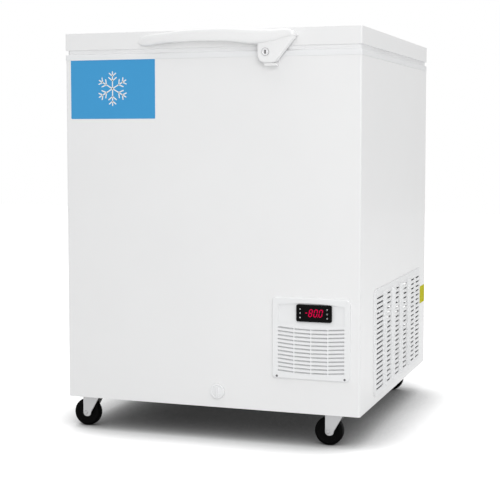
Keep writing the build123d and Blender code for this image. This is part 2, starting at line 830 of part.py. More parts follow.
# Refrigerant pipes: each runs from one face to the next
pipe_top = bay_top - sheet - pipe_radius - 8
tube_end = condenser_left
pipe_bend = 7.0
drier_y = -160.0
drier_low = 130.0
drier_length = 100.0
drier_radius = 11.0
drier_neck = 12.0
with BuildPart() as discharge_pipe:
    pipe(
        (
            (*nozzles[0], nozzle_z),
            (*nozzles[0], pipe_top),
            (riser_x, condenser_y, pipe_top),
            (riser_x, condenser_y, tube_high),
            (tube_end, condenser_y, tube_high),
        ),
        pipe_radius,
        pipe_bend,
    )
save(discharge_pipe, "discharge_pipe")

with BuildPart() as liquid_pipe:
    pipe(
        (
            (riser_x, drier_y, drier_low),
            (riser_x, drier_y, pass_low),
            (riser_x, condenser_y, pass_low),
            (tube_end, condenser_y, pass_low),
        ),
        pipe_radius,
        pipe_bend,
    )
save(liquid_pipe, "liquid_pipe")

# Filter drier: a spun copper can between the liquid pipe and the capillary
with BuildPart() as filter_drier:
    with BuildSketch(Plane.XZ.offset(-drier_y)):
        with BuildLine():
            drier_high = drier_low + drier_length
            Polyline(
                (riser_x, drier_low),
                (riser_x + pipe_radius + 0.8, drier_low),
                (riser_x + drier_radius, drier_low + drier_neck),
                (riser_x + drier_radius, drier_high - drier_neck),
                (riser_x + pipe_radius + 0.8, drier_high),
                (riser_x, drier_high),
                close=True,
            )
        make_face()
    revolve(axis=Axis((riser_x, drier_y, 0), (0, 0, 1)))
save(filter_drier, "filter_drier")

with BuildPart() as capillary_tube:
    pipe(
        (
            (riser_x, drier_y, drier_high),
            (riser_x, drier_y, pipe_top - 32),
            (feed_x, feed_y, pipe_top - 32),
            (feed_x, feed_y, coil_low),
        ),
        capillary_radius,
        pipe_bend,
    )
save(capillary_tube, "capillary_tube")

with BuildPart() as suction_pipe:
    pipe(
        (
            (*nozzles[1], nozzle_z),
            (*nozzles[1], pipe_top),
            (suction_x, suction_y, pipe_top),
            (suction_x, suction_y, coil_high),
            (suction_x, coil_y + coil_width, coil_high),
        ),
        pipe_radius,
        pipe_bend,
    )
save(suction_pipe, "suction_pipe")

# Lock keeper: an angle on the cabinet front with a slot that the hook swings into
hook_y = (-(half_depth + lobe_gap - 0.3), -(half_depth + lobe_gap - 0.3) + hook_thick)
keeper_plate = 2.2
keeper_proud = 18.0
with BuildPart() as lock_keeper:
    block(
        (keeper_left, keeper_right),
        (-half_depth - keeper_plate, -half_depth),
        (keeper_high - keeper_thick, rim_z - 2),
    )
    block(
        (keeper_left, keeper_right),
        (-half_depth - keeper_proud, -half_depth),
        (keeper_high - keeper_thick, keeper_high),
    )
    block(
        (key_x + 2.5, keeper_right),
        (hook_y[0] - 1, hook_y[1] + 1),
        (keeper_high - keeper_thick, keeper_high),
        Mode.SUBTRACT,
    )
save(lock_keeper, "lock_keeper")

# Handle: a moulded bar with a finger gap, running into the lobe that holds the lock
lobe_back = half_depth + lobe_gap
lobe_front = half_depth + lobe_proud
bar_proud = 31.0
bar_left = key_x - 311.5
bar_right = key_x + 69.0
with BuildPart() as lid_handle:
    with BuildSketch(Plane.XZ.offset(lid_y)):
        with BuildLine():
            upper_left = (bar_left + 18.5, top_z - 10.5)
            upper_right = (bar_right - 8, top_z - 7)
            lower_right = (bar_right - 7, top_z - 23)
            lobe_root = (bar_right - 86, lid_z + 3.5)
            lower_left = (bar_left + 64.5, lid_z + 10.2)
            ThreePointArc(upper_left, (bar_left + 188.5, top_z), upper_right)
            Polyline(upper_right, (bar_right, top_z - 13), lower_right)
            ThreePointArc(lower_right, (bar_right - 44, lid_z + 7), lobe_root)
            ThreePointArc(lobe_root, (bar_left + 180.5, lid_z + 12.6), lower_left)
            Polyline(
                lower_left,
                (bar_left + 10.5, lid_z + 7),
                (bar_left, lid_z + 14),
                (bar_left + 5.5, top_z - 15),
                upper_left,
            )
        make_face()
    extrude(amount=bar_proud + 1)
    with BuildSketch(Plane.XY.offset(lid_z - 10)):
        with BuildLine():
            Line((bar_left - 1, -lid_y), (bar_right + 1, -lid_y))
            Line((bar_right + 1, -lid_y), (bar_right + 1, -lid_y - 12))
            ThreePointArc(
                (bar_right + 1, -lid_y - 12),
                (bar_left + 198.5, -half_depth - bar_proud),
                (bar_left - 1, -lid_y - 5),
            )
            Line((bar_left - 1, -lid_y - 5), (bar_left - 1, -lid_y))
        make_face()
    extrude(amount=60, mode=Mode.INTERSECT)
    front_face = faces().sort_by(Axis.Y)[0]
    chamfer(front_face.edges(), 3)
    with BuildSketch(Plane.XY.offset(lid_z - 10)):
        with BuildLine():
            Polyline(
                (bar_left + 56.5, -lid_y + 1),
                (bar_left + 88.5, -lid_y - finger_depth + 5),
                (bar_left + 108.5, -lid_y - finger_depth),
                (bar_right - 148, -lid_y - finger_depth),
                (bar_right - 128, -lid_y - finger_depth + 5),
                (bar_right - 98, -lid_y + 1),
                close=True,
            )
        make_face()
    extrude(amount=60, mode=Mode.SUBTRACT)
    with BuildSketch(Plane.XZ.offset(lid_y)):
        with BuildLine():
            Polyline(
                (key_x - 19.8, lid_z + 8),
                (key_x - 19.8, keeper_high + 16),
                (key_x - 15, keeper_high + 6),
                (key_x - 4, keeper_high + 0.5),
                (key_x + 16, keeper_high + 0.5),
                (key_x + 28, keeper_high + 4.5),
                (key_x + 59, lid_z + 2),
                (key_x + 68, lid_z + 22),
                (key_x + 40, lid_z + 23),
                close=True,
            )
        make_face()
    extrude(amount=lobe_front - lid_y)
    block(
        (key_x - 40, key_x + 90),
        (-lobe_back, -lid_y + 1),
        (lid_z - 60, lid_z + 0.5),
        Mode.SUBTRACT,
    )
    drum(12, (key_x, -lobe_back + 1, key_z), lobe_front - lobe_back - lobe_wall + 1, (0, -1, 0), Mode.SUBTRACT)
    drum(6.6, (key_x, -lobe_front - 1, key_z), 10, (0, 1, 0), Mode.SUBTRACT)
save(lid_handle, "lid_handle")

# Lock: a fixed barrel in the lobe, and a plug that turns the hook
barrel_front = lobe_front + 1.5
with BuildPart() as lock_barrel:
    drum(bezel_ring, (key_x, -lobe_front, key_z), 1.5, (0, -1, 0))
    drum(6.6 - running_gap, (key_x, -lobe_front, key_z), lobe_front - lobe_back - 1, (0, 1, 0))
    drum(plug_radius + running_gap, (key_x, -barrel_front - 1, key_z), 40, (0, 1, 0), Mode.SUBTRACT)
save(lock_barrel, "lock_barrel")

with BuildPart() as lock_plug:
    drum(plug_radius, (key_x, -barrel_front, key_z), barrel_front + hook_y[0], (0, 1, 0))
    drum(3, (key_x, hook_y[0], key_z), hook_thick, (0, 1, 0))
    block(
        (key_x - 0.8, key_x + 0.8),
        (-barrel_front, -barrel_front + 5),
        (key_z - 3.5, key_z + 3.5),
        Mode.SUBTRACT,
    )
save(lock_plug, "lock_plug")

# Hook: drawn open, pointing along +X; it swings down under the keeper
with BuildPart() as lock_hook:
    with BuildSketch(Plane.XZ.offset(-hook_y[1])):
        with Locations((key_x, key_z)):
            Circle(8)
            with Locations((hook_reach / 2, 7.5)):
                Rectangle(hook_reach, 7)
            with Locations((hook_reach - 2.1, 3)):
                Rectangle(4.2, 16)
            Circle(3 + running_gap, mode=Mode.SUBTRACT)
    extrude(amount=hook_thick)
save(lock_hook, "lock_hook")

# Drain plug: a cap with a grip rib and a shank in the tube
with BuildPart() as drain_plug:
    cap_back = -half_depth - seat_gap
    drum(cap_radius, (drain_x, cap_back, drain_z), cap_thick, (0, -1, 0))
    chamfer(edges().group_by(Axis.Y)[0], 1.5)
    block(
        (drain_x - 2.5, drain_x + 2.5),
        (cap_back - cap_thick - 4, cap_back - cap_thick + 1),
        (drain_z - cap_radius + 5, drain_z + cap_radius - 5),
    )
    drum(drain_bore - 0.1, (drain_x, cap_back, drain_z), 22, (0, 1, 0))
save(drain_plug, "drain_plug")

# Hinges: two brackets on the back, two arms on the lid and a pin in each pair
ear_outer = ear_gap / 2 + ear_thick
ear_round = 8.0
with BuildPart() as hinge_brackets:
    for middle in (-hinge_x, hinge_x):
        block(
            (middle - ear_outer - 10, middle + ear_outer + 10),
            (half_depth, half_depth + hinge_plate),
            (rim_z - 62, rim_z - 2),
        )
        for side in (middle - ear_outer, middle + ear_gap / 2):
            with BuildSketch(Plane.YZ.offset(side)):
                with BuildLine():
                    Polyline(
                        (half_depth + hinge_plate, rim_z - 50),
                        (hinge_y + ear_round, hinge_z - 14),
                        (hinge_y + ear_round, hinge_z + 4),
                        (hinge_y + 4, hinge_z + ear_round),
                        (hinge_y - 4, hinge_z + ear_round),
                        (hinge_y - ear_round, hinge_z + 4),
                        (lid_y + 1.5, hinge_z - 4),
                        (lid_y + 1.5, rim_z - 2),
                        (half_depth + hinge_plate, rim_z - 2),
                        close=True,
                    )
                make_face()
                with Locations((hinge_y, hinge_z)):
                    Circle(hinge_pin + running_gap, mode=Mode.SUBTRACT)
            extrude(amount=ear_thick)
save(hinge_brackets, "hinge_brackets")

knuckle = 7.0
knuckle_half = ear_gap / 2 - 0.8
with BuildPart() as hinge_arms:
    for middle in (-hinge_x, hinge_x):
        with BuildSketch(Plane.YZ.offset(middle - knuckle_half)):
            with BuildLine():
                Polyline(
                    (lid_y, lid_z + 3),
                    (lid_y, top_z - 5),
                    (lid_y + hinge_plate, top_z - 5),
                    (lid_y + hinge_plate, lid_z + 12),
                    (hinge_y + knuckle, hinge_z + 4),
                    (hinge_y, hinge_z - 2),
                    (hinge_y - knuckle, hinge_z + 4),
                    close=True,
                )
            make_face()
            with Locations((hinge_y, hinge_z)):
                Circle(knuckle)
                Circle(hinge_pin + running_gap, mode=Mode.SUBTRACT)
        extrude(amount=2 * knuckle_half)
save(hinge_arms, "hinge_arms")

with BuildPart() as hinge_pins:
    for middle in (-hinge_x, hinge_x):
        drum(hinge_pin, (middle - ear_outer - 1, hinge_y, hinge_z), 2 * ear_outer + 2, (1, 0, 0))
        for end in (middle - ear_outer - 2, middle + ear_outer):
            prism(6, hinge_pin + 2, (end, hinge_y, hinge_z), 2, (1, 0, 0))
save(hinge_pins, "hinge_pins")

# Castors: top plates with a race and a king pin under the base pan
castor_places = [(x, y) for x in (-castor_x, castor_x) for y in (-castor_y, castor_y)]
race_gap = 0.3
crown_low = fork_top - 4
with BuildPart() as caster_plates:
    for x, y in castor_places:
        with BuildSketch(Plane.XY.offset(pan_z - plate_thick)):
            with Locations((x, y)):
                Rectangle(plate_side, plate_side)
        extrude(amount=plate_thick)
        race_thick = pan_z - plate_thick - fork_top - race_gap
        prism(12, race_radius, (x, y, fork_top + race_gap), race_thick, (0, 0, 1))
        drum(king_pin, (x, y, crown_low - race_gap), fork_top - crown_low + 2 * race_gap, (0, 0, 1))
        prism(6, king_pin + 3, (x, y, crown_low - race_gap), 3, (0, 0, -1))
save(caster_plates, "caster_plates")

cheek_in = wheel_width / 2 + 1
cheek_out = cheek_in + fork_sheet
for number, (x, y) in enumerate(castor_places, start=1):
    axle_x = x - trail
    with BuildPart() as fork:
        with BuildSketch(Plane.XZ.offset(-y - cheek_out)):
            with BuildLine():
                Polyline(
                    (axle_x - fork_tip, wheel_radius),
                    (axle_x + fork_tip, wheel_radius - 2),
                    (axle_x - fork_tip + fork_width, fork_top),
                    (axle_x - fork_tip, fork_top),
                    close=True,
                )
            make_face()
            with Locations((axle_x, wheel_radius)):
                RegularPolygon(fork_tip, 12)
        extrude(amount=2 * cheek_out)
        block(
            (axle_x - 60, x + 60),
            (y - cheek_in, y + cheek_in),
            (0, crown_low),
            Mode.SUBTRACT,
        )
        prism(12, race_radius + 2, (x, y, crown_low), fork_top - crown_low, (0, 0, 1))
        drum(king_pin + running_gap, (x, y, crown_low - 1), 10, (0, 0, 1), Mode.SUBTRACT)
        drum(axle_radius, (axle_x, y - cheek_out, wheel_radius), 2 * cheek_out, (0, 1, 0))
        for side in (-1, 1):
            nut = (axle_x, y + side * cheek_out, wheel_radius)
            prism(6, axle_radius + 2.5, nut, 3.5, (0, side, 0))
    save(fork, f"caster_fork_{number}")
    with BuildPart() as wheel:
        with BuildSketch(Plane.XY.offset(wheel_radius)):
            with BuildLine():
                bore = axle_radius + running_gap
                half = wheel_width / 2
                tread_edge = 5.0
                Polyline(
                    (axle_x + bore, y - half),
                    (axle_x + wheel_radius - 4, y - half),
                    (axle_x + wheel_radius, y - half + tread_edge),
                    (axle_x + wheel_radius, y + half - tread_edge),
                    (axle_x + wheel_radius - 4, y + half),
                    (axle_x + bore, y + half),
                    close=True,
                )
            make_face()
        revolve(axis=Axis((axle_x, y, wheel_radius), (0, 1, 0)))
    save(wheel, f"caster_wheel_{number}")
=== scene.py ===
# %% [markdown]
# # A small ultra low temperature chest freezer
# The freezer is a white sheet-metal box on four black castors, with a thick hinged lid. A long
# moulded handle ends in a lobe with the lock, and a machine panel with a red display sits low on
# the right. The mechanical model is already there as a fixed frame, so this lesson only dresses it:
# each node gets a finish, and the moulded pieces are drawn again as smooth surfaces.

# %% Load the frame
import math
import bpy
import numpy as np
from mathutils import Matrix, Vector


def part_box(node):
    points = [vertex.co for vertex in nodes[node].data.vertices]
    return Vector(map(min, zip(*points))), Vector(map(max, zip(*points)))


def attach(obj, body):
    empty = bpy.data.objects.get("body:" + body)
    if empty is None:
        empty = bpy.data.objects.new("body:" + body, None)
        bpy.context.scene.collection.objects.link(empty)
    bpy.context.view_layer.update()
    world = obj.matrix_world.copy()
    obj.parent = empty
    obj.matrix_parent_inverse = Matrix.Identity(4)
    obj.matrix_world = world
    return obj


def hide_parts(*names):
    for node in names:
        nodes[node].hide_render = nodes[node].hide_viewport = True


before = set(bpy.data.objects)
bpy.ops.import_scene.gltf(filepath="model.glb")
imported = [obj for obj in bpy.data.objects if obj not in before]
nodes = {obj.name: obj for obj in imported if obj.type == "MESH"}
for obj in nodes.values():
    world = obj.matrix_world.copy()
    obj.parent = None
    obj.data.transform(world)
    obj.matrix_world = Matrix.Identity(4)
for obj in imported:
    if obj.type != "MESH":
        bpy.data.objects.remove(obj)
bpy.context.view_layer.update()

# %% [markdown]
# ## Camera
# The photograph was taken with a long lens from the front right, a little below the top of the lid,
# so the lid's upper face can't be seen. The upright edges stay nearly parallel in it, which comes
# from a small downward tilt and a small shift of the frame.

# %% Camera
LENS = 88.96  # millimetres, on a sensor 36 mm wide
FRAME_SHIFT = -0.06
CAMERA_PLACE = (0.995, -2.976, 0.693)
LOOK_DOWN = 3.881  # degrees
TURN_LEFT = 18.918  # degrees
scene = bpy.context.scene
camera_data = bpy.data.cameras.new("photo_lens")
camera_data.lens = LENS
camera_data.sensor_width = 36.0
camera_data.shift_y = FRAME_SHIFT
camera = bpy.data.objects.new("photo_camera", camera_data)
camera.location = CAMERA_PLACE
camera.rotation_euler = (math.radians(90 - LOOK_DOWN), 0, math.radians(TURN_LEFT))
scene.collection.objects.link(camera)
scene.camera = camera
print("camera distance to the cabinet's middle:", round(math.dist(camera.location, (0, 0, 0.45)), 3), "m")

# %% [markdown]
# ## Surroundings
# A white sweep would send light back from everywhere, which washes out a white object. So the room only
# looks white: the camera, a mirror and a glass see plain white, and the light that falls on the freezer
# from all round has about half that strength.

# %% Surroundings
scene.view_settings.view_transform = "Standard"
SURROUND_LEVEL = 0.54


def seen_directly(tree):
    """1 where the camera, a mirror or a glass looks straight at the surface, 0 for other light."""
    path = tree.nodes.new("ShaderNodeLightPath")
    either = tree.nodes.new("ShaderNodeMath")
    either.operation = "MAXIMUM"
    tree.links.new(path.outputs["Is Camera Ray"], either.inputs[0])
    tree.links.new(path.outputs["Is Glossy Ray"], either.inputs[1])
    every = tree.nodes.new("ShaderNodeMath")
    every.operation = "MAXIMUM"
    tree.links.new(either.outputs[0], every.inputs[0])
    tree.links.new(path.outputs["Is Transmission Ray"], every.inputs[1])
    return every.outputs[0]


world = bpy.data.worlds.new("white_room")
scene.world = world
world.use_nodes = True
sky = world.node_tree
sky.nodes.clear()
room = sky.nodes.new("ShaderNodeBackground")
room.inputs["Color"].default_value = (0.99, 0.995, 1.0, 1)
room.inputs["Strength"].default_value = SURROUND_LEVEL
white = sky.nodes.new("ShaderNodeBackground")
white.inputs["Color"].default_value = (1, 1, 1, 1)
white.inputs["Strength"].default_value = 1.0
room_or_white = sky.nodes.new("ShaderNodeMixShader")
sky_out = sky.nodes.new("ShaderNodeOutputWorld")
sky.links.new(seen_directly(sky), room_or_white.inputs["Fac"])
sky.links.new(room.outputs[0], room_or_white.inputs[1])
sky.links.new(white.outputs[0], room_or_white.inputs[2])
sky.links.new(room_or_white.outputs[0], sky_out.inputs["Surface"])
print("the room lights the freezer at", SURROUND_LEVEL, "and looks white")

# %% [markdown]
# ## Floor
# The floor has to look white and still carry the soft shadow under the freezer. Lit by the lamps alone
# it would turn grey, so part of its white is its own light, which only the camera, a mirror or a glass
# sees. An ambient occlusion node measures how closely something stands over each point, a power
# deepens that, and a ramp turns it into the dark of the shadow.

# %% Floor
FLOOR_REACH = 8.0  # metres from the middle to each side
FLOOR_GLOW = 0.62
SHADOW_REACH = 0.25  # metres
SHADOW_POWER = 1.65
SHADOW_DARKEST = 0.02
SHADOW_END = 0.82  # where the ramp is white again
floor_mesh = bpy.data.meshes.new("floor")
floor_corners = [(FLOOR_REACH * u, FLOOR_REACH * v, 0) for u, v in ((-1, -1), (1, -1), (1, 1), (-1, 1))]
floor_mesh.from_pydata(floor_corners, [], [(0, 1, 2, 3)])
floor = bpy.data.objects.new("floor", floor_mesh)
scene.collection.objects.link(floor)
floor_finish = bpy.data.materials.new("white_floor")
floor_finish.use_nodes = True
ground = floor_finish.node_tree
ground.nodes.clear()
matt = ground.nodes.new("ShaderNodeBsdfDiffuse")
matt.inputs["Color"].default_value = (0.8, 0.8, 0.8, 1)
closeness = ground.nodes.new("ShaderNodeAmbientOcclusion")
closeness.inputs["Distance"].default_value = SHADOW_REACH
closeness.samples = 12
deeper = ground.nodes.new("ShaderNodeMath")
deeper.operation = "POWER"
deeper.inputs[1].default_value = SHADOW_POWER
dark = ground.nodes.new("ShaderNodeValToRGB")
dark.color_ramp.elements[0].position = 0.0
dark.color_ramp.elements[0].color = (SHADOW_DARKEST, SHADOW_DARKEST, SHADOW_DARKEST, 1)
dark.color_ramp.elements[1].position = SHADOW_END
dark.color_ramp.elements[1].color = (1, 1, 1, 1)
shaded = ground.nodes.new("ShaderNodeBsdfDiffuse")
glow = ground.nodes.new("ShaderNodeEmission")
glow.inputs["Strength"].default_value = FLOOR_GLOW
lit = ground.nodes.new("ShaderNodeAddShader")
pick = ground.nodes.new("ShaderNodeMixShader")
floor_out = ground.nodes.new("ShaderNodeOutputMaterial")
ground.links.new(closeness.outputs["AO"], deeper.inputs[0])
ground.links.new(deeper.outputs[0], dark.inputs["Fac"])
ground.links.new(dark.outputs["Color"], shaded.inputs["Color"])
ground.links.new(dark.outputs["Color"], glow.inputs["Color"])
ground.links.new(shaded.outputs[0], lit.inputs[0])
ground.links.new(glow.outputs[0], lit.inputs[1])
ground.links.new(seen_directly(ground), pick.inputs["Fac"])
ground.links.new(matt.outputs[0], pick.inputs[1])
ground.links.new(lit.outputs[0], pick.inputs[2])
ground.links.new(pick.outputs[0], floor_out.inputs["Surface"])
floor_mesh.materials.append(floor_finish)
print("floor of", 2 * FLOOR_REACH, "m with a shadow that reaches", SHADOW_REACH, "m")

# %% [markdown]
# ## Lamps
# Broad lamps give the soft light of the photograph: a strong one in front, a weak one on the right for
# the side wall, and one above.

# %% Lamps
def lamp(name, place, aim, width, height, watts):
    """A rectangular lamp at a place, turned so that its light goes towards the aim."""
    data = bpy.data.lights.new(name, "AREA")
    data.shape = "RECTANGLE"
    data.size = width
    data.size_y = height
    data.energy = watts
    made = bpy.data.objects.new(name, data)
    made.location = place
    way = np.array(aim, float) - np.array(place, float)
    flat = math.hypot(way[0], way[1])
    made.rotation_euler = (math.atan2(flat, -way[2]), 0, math.atan2(way[1], way[0]) - math.pi / 2)
    scene.collection.objects.link(made)
    print(name, "at", place, watts, "W")


lamp("front_lamp", (1.5, -3.2, 1.7), (0.2, 0, 0.5), 2.0, 2.0, 38)
lamp("side_lamp", (3.2, -0.4, 1.5), (0, 0, 0.5), 1.8, 1.8, 6)
lamp("top_lamp", (-0.3, -0.6, 3.4), (0, 0, 0), 2.6, 2.6, 30)

# %% [markdown]
# ## Finishes
# Paint on sheet steel has a faint orange peel, moulded plastic a fine spark-eroded grain, and rolled
# metal runs in lines. One recipe covers them all, with two noise fields in the piece's own coordinates:
# a broad one tints the colour a little, and a fine one spreads the roughness and drives a shallow bump.
# A picture of a surface would tie the finish to one size, so everything stays in nodes.

# %% One recipe for painted, moulded and rolled surfaces
CLOUD_SCALE = 7.0  # of the broad noise, per metre
ROUGHNESS_SPREAD = 0.05


def finish(
    name, colour, rough, metal=0.0, grain=700.0, depth=0.02, tint=0.03,
    stretch=(1, 1, 1), coat=0.0, gloss=0.5,
):
    """The colour lies between (1 - tint) times itself and itself, by the broad noise. The fine noise
    spreads the roughness to both sides of rough and drives the bump.

    grain is the fine noise's scale per metre, depth the bump's distance in millimetres and stretch the
    scale along each axis, so that a large value in one direction gives the lines of rolled metal."""
    made = bpy.data.materials.new(name)
    made.use_nodes = True
    tree = made.node_tree
    tree.nodes.clear()
    place = tree.nodes.new("ShaderNodeTexCoord")
    scale = tree.nodes.new("ShaderNodeMapping")
    scale.inputs["Scale"].default_value = stretch
    noise = tree.nodes.new("ShaderNodeTexNoise")
    noise.inputs["Scale"].default_value = grain
    noise.inputs["Detail"].default_value = 3.0
    broad = tree.nodes.new("ShaderNodeTexNoise")
    broad.inputs["Scale"].default_value = CLOUD_SCALE
    shade = tree.nodes.new("ShaderNodeValToRGB")
    shade.color_ramp.elements[0].position = 0.3
    shade.color_ramp.elements[0].color = (*[c * (1 - tint) for c in colour[:3]], 1)
    shade.color_ramp.elements[1].position = 0.7
    shade.color_ramp.elements[1].color = (*colour[:3], 1)
    spread = tree.nodes.new("ShaderNodeMapRange")
    spread.inputs["To Min"].default_value = max(rough - ROUGHNESS_SPREAD, 0.02)
    spread.inputs["To Max"].default_value = rough + ROUGHNESS_SPREAD
    bump = tree.nodes.new("ShaderNodeBump")
    bump.inputs["Strength"].default_value = 1.0
    bump.inputs["Distance"].default_value = depth / 1000
    shader = tree.nodes.new("ShaderNodeBsdfPrincipled")
    shader.inputs["Metallic"].default_value = metal
    shader.inputs["Coat Weight"].default_value = coat
    shader.inputs["Specular IOR Level"].default_value = gloss
    end = tree.nodes.new("ShaderNodeOutputMaterial")
    link = tree.links.new
    link(place.outputs["Object"], scale.inputs["Vector"])
    link(scale.outputs["Vector"], noise.inputs["Vector"])
    link(place.outputs["Object"], broad.inputs["Vector"])
    link(broad.outputs["Fac"], shade.inputs["Fac"])
    link(shade.outputs["Color"], shader.inputs["Base Color"])
    link(noise.outputs["Fac"], spread.inputs["Value"])
    link(spread.outputs["Result"], shader.inputs["Roughness"])
    link(noise.outputs["Fac"], bump.inputs["Height"])
    link(bump.outputs["Normal"], shader.inputs["Normal"])
    link(shader.outputs["BSDF"], end.inputs["Surface"])
    return made


WHITE_PAINT = finish("white_paint", (0.88, 0.88, 0.88), 0.32, grain=900, depth=0.012, tint=0.012, coat=0.15)
LID_PAINT = finish("lid_paint", (0.87, 0.87, 0.87), 0.30, grain=900, depth=0.012, tint=0.012, coat=0.15)
MOULDED_WHITE = finish("moulded_white", (0.875, 0.88, 0.885), 0.36, grain=2600, depth=0.02, tint=0.015)
HANDLE_WHITE = finish("handle_white", (0.89, 0.89, 0.89), 0.28, grain=2600, depth=0.006, tint=0.01, coat=0.3)
FRAME_GREY = finish("frame_grey", (0.865, 0.87, 0.878), 0.38, grain=2000, depth=0.015, tint=0.02)
GALVANISED = finish("galvanised", (0.62, 0.64, 0.66), 0.42, metal=0.9, grain=60, depth=0.01, tint=0.09)
ZINC_PLATE = finish("zinc_plate", (0.46, 0.46, 0.465), 0.42, metal=0.8, grain=1500, depth=0.01, tint=0.1)
LINER_STEEL = finish(
    "liner_steel", (0.70, 0.71, 0.72), 0.30, metal=1.0, grain=300, depth=0.01, tint=0.05, stretch=(1, 1, 14)
)
CHROME = finish("bright_chrome", (0.80, 0.80, 0.81), 0.10, metal=1.0, grain=900, depth=0.002, tint=0.03)
COPPER = finish("bare_copper", (0.74, 0.38, 0.24), 0.32, metal=1.0, grain=800, depth=0.01, tint=0.25)
MILL_ALUMINIUM = finish(
    "mill_aluminium", (0.76, 0.77, 0.78), 0.35, metal=1.0, grain=700, depth=0.01, tint=0.08
)
BLACK_GLOSS = finish(
    "black_gloss", (0.002, 0.002, 0.002), 0.30, grain=1500, depth=0.004, tint=0.2, gloss=0.06
)
BLACK_KEYS = finish("black_keys", (0.003, 0.003, 0.003), 0.5, grain=2500, depth=0.01, tint=0.2, gloss=0.08)
BLACK_ENAMEL = finish("black_enamel", (0.015, 0.015, 0.016), 0.30, grain=600, depth=0.03, tint=0.2)
BLACK_NYLON = finish("black_nylon", (0.001, 0.001, 0.001), 0.6, grain=1800, depth=0.02, tint=0.3, gloss=0.05)
BLACK_RUBBER = finish("black_rubber", (0.02, 0.02, 0.02), 0.7, grain=2500, depth=0.03, tint=0.3)
DARK_PLASTIC = finish("dark_plastic", (0.05, 0.05, 0.055), 0.45, grain=2000, depth=0.02, tint=0.2)
SOFT_VINYL = finish("soft_vinyl", (0.91, 0.91, 0.915), 0.55, grain=1200, depth=0.02, tint=0.04)
CREAM_FOAM = finish("cream_foam", (0.83, 0.74, 0.50), 0.9, grain=420, depth=0.5, tint=0.15)
DARK_SCREW = finish("dark_screw", (0.14, 0.14, 0.145), 0.4, metal=0.6, grain=900, depth=0.01, tint=0.2)
SMOKED_WINDOW = finish(
    "smoked_window", (0.002, 0.001, 0.001), 0.2, grain=900, depth=0.001, tint=0.1, gloss=0.06
)
print("finishes:", len(bpy.data.materials))

# %% [markdown]
# ## Edges of the pressed and folded nodes
# The nodes come from the mechanical model with loose triangles and knife-sharp edges, and real sheet
# metal never has those. Their meshes may not be changed, but modifiers may be added: Weld joins the
# loose triangles, Decimate joins those that lie in one plane, Bevel rounds the edges that turn by more
# than 30 degrees, and the weighted normals keep the flat faces flat.

# %% Soft edges and finishes for the nodes that keep their shape
SAME_POINT = 1e-5  # metres
SAME_PLANE = math.radians(0.5)
EDGE_TURN = math.radians(30)


def even_normals(piece):
    """Shades a large flat face as flat right up to the small rounds beside it."""
    weighted = piece.modifiers.new("even_normals", "WEIGHTED_NORMAL")
    weighted.weight = 100
    weighted.keep_sharp = True


def soften(node, width):
    """Joins the triangles of a node and rounds its edges by the width in millimetres."""
    piece = nodes[node]
    piece.data.polygons.foreach_set("use_smooth", np.ones(len(piece.data.polygons), bool))
    weld = piece.modifiers.new("join_triangles", "WELD")
    weld.merge_threshold = SAME_POINT
    flat_again = piece.modifiers.new("join_flat_faces", "DECIMATE")
    flat_again.decimate_type = "DISSOLVE"
    flat_again.angle_limit = SAME_PLANE
    if width:
        round_edges = piece.modifiers.new("round_edges", "BEVEL")
        round_edges.width = width / 1000
        round_edges.segments = 2
        round_edges.limit_method = "ANGLE"
        round_edges.angle_limit = EDGE_TURN
    else:
        apart = piece.modifiers.new("keep_edges_sharp", "EDGE_SPLIT")
        apart.split_angle = EDGE_TURN
    even_normals(piece)


def paint(material, width, *names):
    """Gives the same finish and edge width to several nodes."""
    for name in names:
        nodes[name].data.materials.clear()
        nodes[name].data.materials.append(material)
        soften(name, width)


paint(WHITE_PAINT, 1.6, "cabinet_wrap")
paint(LID_PAINT, 0.8, "lid_skin")
paint(WHITE_PAINT, 0.3, "lock_keeper")
paint(FRAME_GREY, 0.6, "top_frame", "lid_liner")
paint(GALVANISED, 0.3, "rear_panel", "rear_cover", "base_pan", "bay_partition", "fan_shroud")
paint(LINER_STEEL, 0.4, "inner_liner")
paint(SOFT_VINYL, 0.8, "lid_gasket")
paint(MOULDED_WHITE, 0.4, "front_grille", "side_grille", "drain_plug")
paint(HANDLE_WHITE, 1.0, "lid_handle")
paint(MOULDED_WHITE, 0.2, "drain_tube")
paint(CREAM_FOAM, 0.0, "cabinet_foam", "lid_foam")
paint(MILL_ALUMINIUM, 0.2, "evaporator_coil", "condenser_tubes", "condenser_fins")
paint(COPPER, 0.2, "capillary_tube", "discharge_pipe", "liquid_pipe", "suction_pipe", "filter_drier")
paint(BLACK_ENAMEL, 0.5, "compressor_shell", "fan_motor")
paint(BLACK_RUBBER, 0.3, "compressor_feet")
paint(DARK_PLASTIC, 0.3, "terminal_box", "power_inlet", "fan_blades")
paint(BLACK_GLOSS, 0.4, "controller_bezel")
paint(BLACK_KEYS, 0.3, "controller_case", *[f"controller_key_{n}" for n in range(1, 7)])
paint(SMOKED_WINDOW, 0.1, "display_window")
paint(ZINC_PLATE, 0.3, "hinge_arms", "hinge_brackets", "lock_hook", "caster_plates")
paint(ZINC_PLATE, 0.3, *[f"caster_fork_{n}" for n in range(1, 5)])
paint(BLACK_NYLON, 0.6, *[f"caster_wheel_{n}" for n in range(1, 5)])
paint(CHROME, 0.2, "hinge_pins", "lock_barrel", "lock_plug")
paint(DARK_SCREW, 0.2, "panel_screws")
bare = [name for name, piece in nodes.items() if len(piece.modifiers) == 0]
print("nodes without a finish:", bare)

# %% [markdown]
# ## Surfaces from grids
# Moulded pieces have no flat faces to speak of, so they are worked out as rings of points: every row
# of the grid is one closed section, and the rows follow one another along the piece. One function
# turns such grids into a closed mesh, which keeps every later cell down to the shape itself.

# %% Rings of points become a closed mesh
import bmesh


